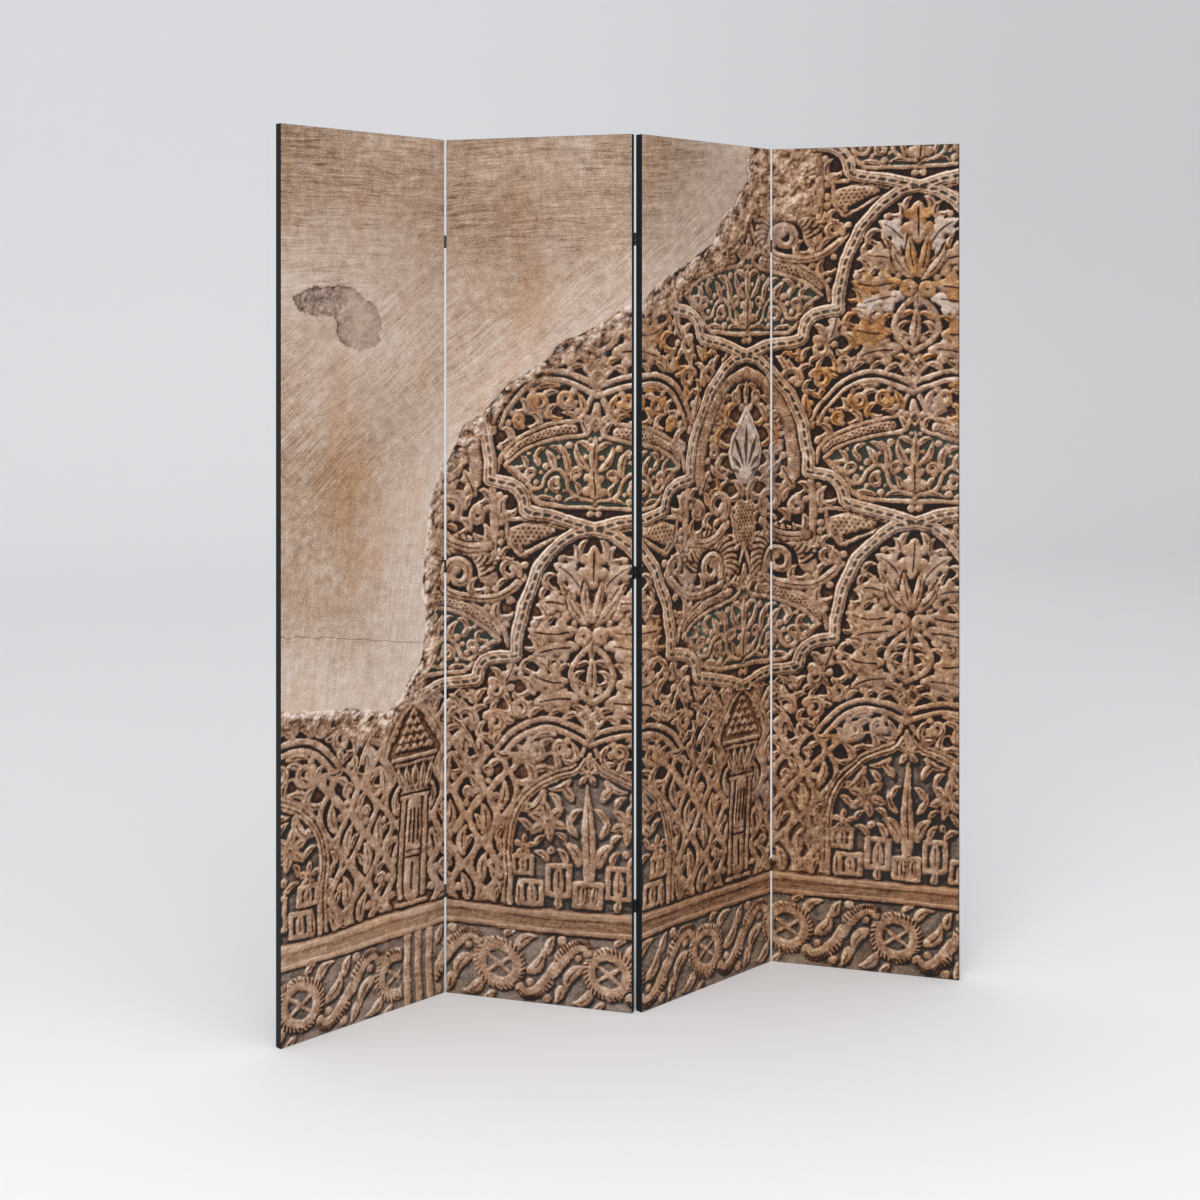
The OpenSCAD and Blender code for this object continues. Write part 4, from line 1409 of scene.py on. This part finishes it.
def on_rim(flat, axis, limit):
    """Whether a point of the flat canvas belongs to the edge across this axis."""
    place = flat[axis // 2]
    return place < EDGE_ROUND + 0.01 or place > limit - EDGE_ROUND - 0.01


def quarter_turn(steps):
    """Where a point is on each step round a quarter circle: how far along its start, and how far across."""
    angles = [math.pi / 2 * k / steps for k in range(steps + 1)]
    return [(math.sin(a), 1 - math.cos(a)) for a in angles]


def printed_canvas(panel, fields, material):
    rows, columns = row_heights(panel, CARVED_TOP[panel.number - 1])
    bm = bmesh.new()
    bmesh.ops.create_grid(bm, x_segments=columns, y_segments=len(rows) - 1, size=0.5)
    layer = bm.verts.layers.float_vector.new("flat")
    for v in bm.verts:
        x = EDGE_ROUND + (v.co.x + 0.5) * (panel.width - 2 * EDGE_ROUND)
        z = rows[int(round((v.co.y + 0.5) * (len(rows) - 1)))]
        v.co = (x, 0, z)
        v[layer] = (x, z, 0)
    front, behind = quarter_turn(FRONT_STEPS), quarter_turn(BACK_STEPS)
    for k, (here, there) in enumerate(zip(front, front[1:])):
        out, back = (EDGE_ROUND * (b - a) for a, b in zip(here, there))
        turned_over(bm, layer, panel, out, back, (k + 1) / 2)
    turned_over(bm, layer, panel, 0, panel.depth - 2 * EDGE_ROUND, 1)
    for here, there in zip(behind, behind[1:]):
        back, out = (EDGE_ROUND * (b - a) for a, b in zip(here, there))
        turned_over(bm, layer, panel, -out, back, 1)
    turned_over(bm, layer, panel, EDGE_ROUND - RETURN_W, 0, 1)
    piece, flat = laid_piece(bm, panel, f"panel_{panel.number}_canvas", material, seen_from=-1)
    flat[:, 0] += (panel.number - 1) * print_w
    add_uv(piece.data, "Print", flat[:, :2] * MM)
    for name in PRINT_FIELDS:
        add_field(piece.data, name, read_grid(fields[name], (0, 0), WALL_GRID, flat[:, 0], flat[:, 1]))
    add_field(piece.data, "bare", flat[:, 2])
    return piece


def new_piece(bm, name, material):
    mesh = bpy.data.meshes.new(name)
    for face in bm.faces:
        face.smooth = True
    bm.to_mesh(mesh)
    bm.free()
    mesh.materials.append(material)
    piece = bpy.data.objects.new(name, mesh)
    bpy.context.scene.collection.objects.link(piece)
    return piece


def laid_piece(bm, panel, name, material, seen_from):
    """A sheet put on its panel, seen from in front (-1) or behind (1), and its points on the flat sheet."""
    bmesh.ops.recalc_face_normals(bm, faces=bm.faces)
    bm.faces.ensure_lookup_table()
    if bm.faces[0].normal.y * seen_from < 0:
        bmesh.ops.reverse_faces(bm, faces=bm.faces)
    bmesh.ops.transform(bm, matrix=panel.place, verts=bm.verts)
    piece = new_piece(bm, name, material)
    flat = np.zeros(len(piece.data.vertices) * 3, np.float32)
    piece.data.attributes["flat"].data.foreach_get("vector", flat)
    piece.data.attributes.remove(piece.data.attributes["flat"])
    return piece, flat.reshape(-1, 3)


def add_uv(mesh, name, place):
    """A UV map from a place for each vertex."""
    corner = np.zeros(len(mesh.loops), np.int32)
    mesh.loops.foreach_get("vertex_index", corner)
    place = np.ascontiguousarray(place[corner], np.float32)
    mesh.uv_layers.new(name=name).data.foreach_set("uv", place.ravel())


def add_field(mesh, name, values):
    field = mesh.attributes.new(name, "FLOAT", "POINT")
    field.data.foreach_set("value", np.ascontiguousarray(values, np.float32))


CLOTH_INSET = 9.0         # from the panel's edge to the cloth's
HEM_W, CLOTH_T = 12.0, 0.2
SHELL_T = 0.15            # thickness that the sheet itself gets


def back_cloth(panel, material):
    """The backing: a hemmed cloth stapled inside the edges, its hem twice as thick, rippled by the staples."""
    low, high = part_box(f"panel_{panel.number}_back_cloth")
    across, up = panel.width - 2 * CLOTH_INSET, (high.z - low.z) / MM
    bm = bmesh.new()
    bmesh.ops.create_grid(bm, x_segments=72, y_segments=300, size=0.5)
    layer = bm.verts.layers.float_vector.new("flat")
    outer = panel.depth + 2 * CLOTH_T
    for v in bm.verts:
        x, z = (v.co.x + 0.5) * across, (v.co.y + 0.5) * up
        rim = min(x, across - x, z, up - z)
        sunk = CLOTH_T * ease(HEM_W - 1, HEM_W + 2, rim) * 0.8
        ripple = 0.04 * math.sin(z / 19) * math.sin(x / 23 + z / 140) * ease(0, 60, rim)
        v.co = (CLOTH_INSET + x, outer - sunk + ripple - 0.04, (panel.height - up) / 2 + z)
        v[layer] = (x, z, 0)
    piece, flat = laid_piece(bm, panel, f"panel_{panel.number}_backing", material, seen_from=1)
    add_uv(piece.data, "Cloth", flat[:, :2] * MM)
    thick = piece.modifiers.new("Thickness", "SOLIDIFY")
    thick.thickness, thick.offset = SHELL_T * MM, -1
    return piece


# ---------------------------------------------------------------- dressing the frame

cloth_w, cloth_h = (print_w - 2 * CLOTH_INSET) * MM, (print_h - 2 * CLOTH_INSET) * MM
turns = sorted({p.turn for p in panels})
PINE, BEECH = ((222, 188, 142), (196, 150, 100)), ((214, 172, 130), (188, 138, 96))
canvas_finish = printed_canvas_material()
cloth_finish = soft_black_cloth_material(cloth_w, cloth_h)
upright_pine = wood_material("Planed pine, upright", *PINE)
rail_pine = {turn: wood_material(f"Planed pine, turned {turn}", *PINE, turn) for turn in turns}
beech = {turn: wood_material(f"Turned beech, turned {turn}", *BEECH, turn) for turn in turns}
black_steel = metal_material("Black enamelled steel", (13, 13, 14), (44, 44, 46), 0.0, 0.38)
black_screws = metal_material("Black zinc screws", (20, 20, 21), (66, 66, 68), 0.6, 0.34)
bright_steel = metal_material("Galvanised staple wire", (132, 134, 137), (186, 188, 190), 1.0, 0.30)
fields = wall_fields()


def dress(name, finish):
    """Gives a piece of the frame its finish."""
    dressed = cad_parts[name]
    dressed.data.materials.clear()
    dressed.data.materials.append(finish)


def stretch(sheet, body, node_name, flat, rests_on):
    """Puts a sheet on its body in the place of a node, which it hides."""
    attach(sheet, body)
    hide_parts(f"{body}_{node_name}")
    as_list(rests_on)


for panel in panels:
    body = f"panel_{panel.number}"
    canvas = printed_canvas(panel, fields, canvas_finish)
    wrap = 2 * (panel.depth + RETURN_W)
    bars = [f"{body}_{bar}" for bar in ("left_stile", "right_stile", "top_rail", "bottom_rail")]
    stretch(canvas, body, "printed_canvas", ((panel.width + wrap) * MM, (panel.height + wrap) * MM), bars)
    backing = back_cloth(panel, cloth_finish)
    inset = 2 * CLOTH_INSET
    stretch(backing, body, "back_cloth", ((panel.width - inset) * MM, (panel.height - inset) * MM), [canvas])
    for stile in ("left_stile", "right_stile"):
        dress(f"{body}_{stile}", upright_pine)
    dress(f"{body}_dowels", beech[panel.turn])
    dress(f"{body}_staples", bright_steel)
    for rail in ("top_rail", "bottom_rail", "upper_cross_rail", "lower_cross_rail"):
        dress(f"{body}_{rail}", rail_pine[panel.turn])
for j in range(1, PANELS):
    for part in ("leaves_left", "leaves_right", "pins"):
        dress(f"joint_{j}_hinge_{part}", black_steel)
    for part in ("screws_left", "screws_right"):
        dress(f"joint_{j}_hinge_{part}", black_screws)


# ---------------------------------------------------------------- studio

FLOOR_FRONT, WALL_Y, SWEEP_R, WALL_H, REACH = -20.0, 6.2, 2.5, 9.0, 24.0


def studio_material():
    """A pale painted sweep with painted light and shade in its colour: painted shade a little to the right and at the
    left front near the key lamp, painted light towards the front, painted shade under the lamps to even them out, and
    painted light past them.
    """
    material, tree, shader = new_material("Studio sweep", Roughness=0.9, Specular_IOR_Level=0.0)
    split = node(tree, "ShaderNodeSeparateXYZ", {}, {"Vector": object_place(tree)})
    x, y = (Signal(tree, split.outputs[k]) for k in "XY")
    # painted light towards the front, painted shade to the right
    tone = 0.875 + y.step(0.0, -2.2) * 0.075 - x.step(0.5, 6.0) * 0.10
    tone = tone - y.step(-1.1, -2.4) * 0.28 + y.step(-3.8, -5.6) * 0.29       # painted shade under the lamps, and painted light past them where they don't reach
    # painted shade near the key lamp, at the left front
    tone = tone - x.step(-1.4, -2.8) * y.step(0.6, -0.8) * 0.12
    mottle = noise(tree, object_place(tree), 3.0, 3.0) * 0.004
    wire(tree, shader, Base_Color=mixed(tree, tone + mottle, (0, 0, 0, 1), (1, 1, 1.01, 1)))
    return material


def studio_sweep():
    """Floor that turns up into a wall behind."""
    bm = bmesh.new()
    bmesh.ops.create_grid(bm, x_segments=8, y_segments=128, size=0.5)
    floor, bend = WALL_Y - FLOOR_FRONT, SWEEP_R * math.pi / 2
    for v in bm.verts:
        x, run = v.co.x * 2 * REACH, (v.co.y + 0.5) * (floor + bend + WALL_H)
        turn = min(max(run - floor, 0), bend) / SWEEP_R
        v.co = (x, FLOOR_FRONT + min(run, floor) + SWEEP_R * math.sin(turn),
                SWEEP_R * (1 - math.cos(turn)) + max(run - floor - bend, 0))
    new_piece(bm, "studio_sweep", studio_material())


def soft_box(name, place, aim, size, watts):
    lamp = bpy.data.lights.new(name, "AREA")
    lamp.shape, lamp.size, lamp.size_y, lamp.energy = "RECTANGLE", size[0], size[1], watts
    stand = bpy.data.objects.new(name, lamp)
    stand.location = place
    stand.rotation_euler = (Vector(aim) - Vector(place)).to_track_quat("-Z", "Y").to_euler()
    bpy.context.scene.collection.objects.link(stand)


def studio_world():
    """Even pale light from all sides, a little darker where the camera sees it."""
    world = bpy.data.worlds.new("Studio")
    bpy.context.scene.world = world
    world.use_nodes = True
    tree = world.node_tree
    to_camera = Signal(tree, node(tree, "ShaderNodeLightPath").outputs["Is Camera Ray"])
    wire(tree, tree.nodes["Background"], Color=(0.97, 0.985, 1.0, 1), Strength=0.80 - to_camera * 0.11)


def photographs_camera():
    """The photograph's viewpoint: level, a little left of the screen, with the lens shifted down."""
    data = bpy.data.cameras.new("Camera")
    data.sensor_width, data.lens, data.shift_y = 36.0, 50.384, -0.2201
    camera = bpy.data.objects.new("Camera", data)
    camera.location = (-0.88683, -3.34968, 1.35567)
    camera.rotation_euler = (math.pi / 2, 0, -math.radians(14.0325))
    bpy.context.scene.collection.objects.link(camera)
    bpy.context.scene.camera = camera


studio_sweep()
studio_world()
soft_box("key", (-3.2, -4.6, 3.6), (0, 0, 0.9), (3.0, 3.0), 110)
soft_box("floor", (-0.9, -2.9, 2.4), (-0.9, -2.6, 0), (1.8, 1.4), 20)
soft_box("fill", (3.6, -4.2, 2.4), (0, 0, 0.9), (3.0, 3.0), 40)
photographs_camera()
bpy.context.scene.view_settings.view_transform = "Standard"
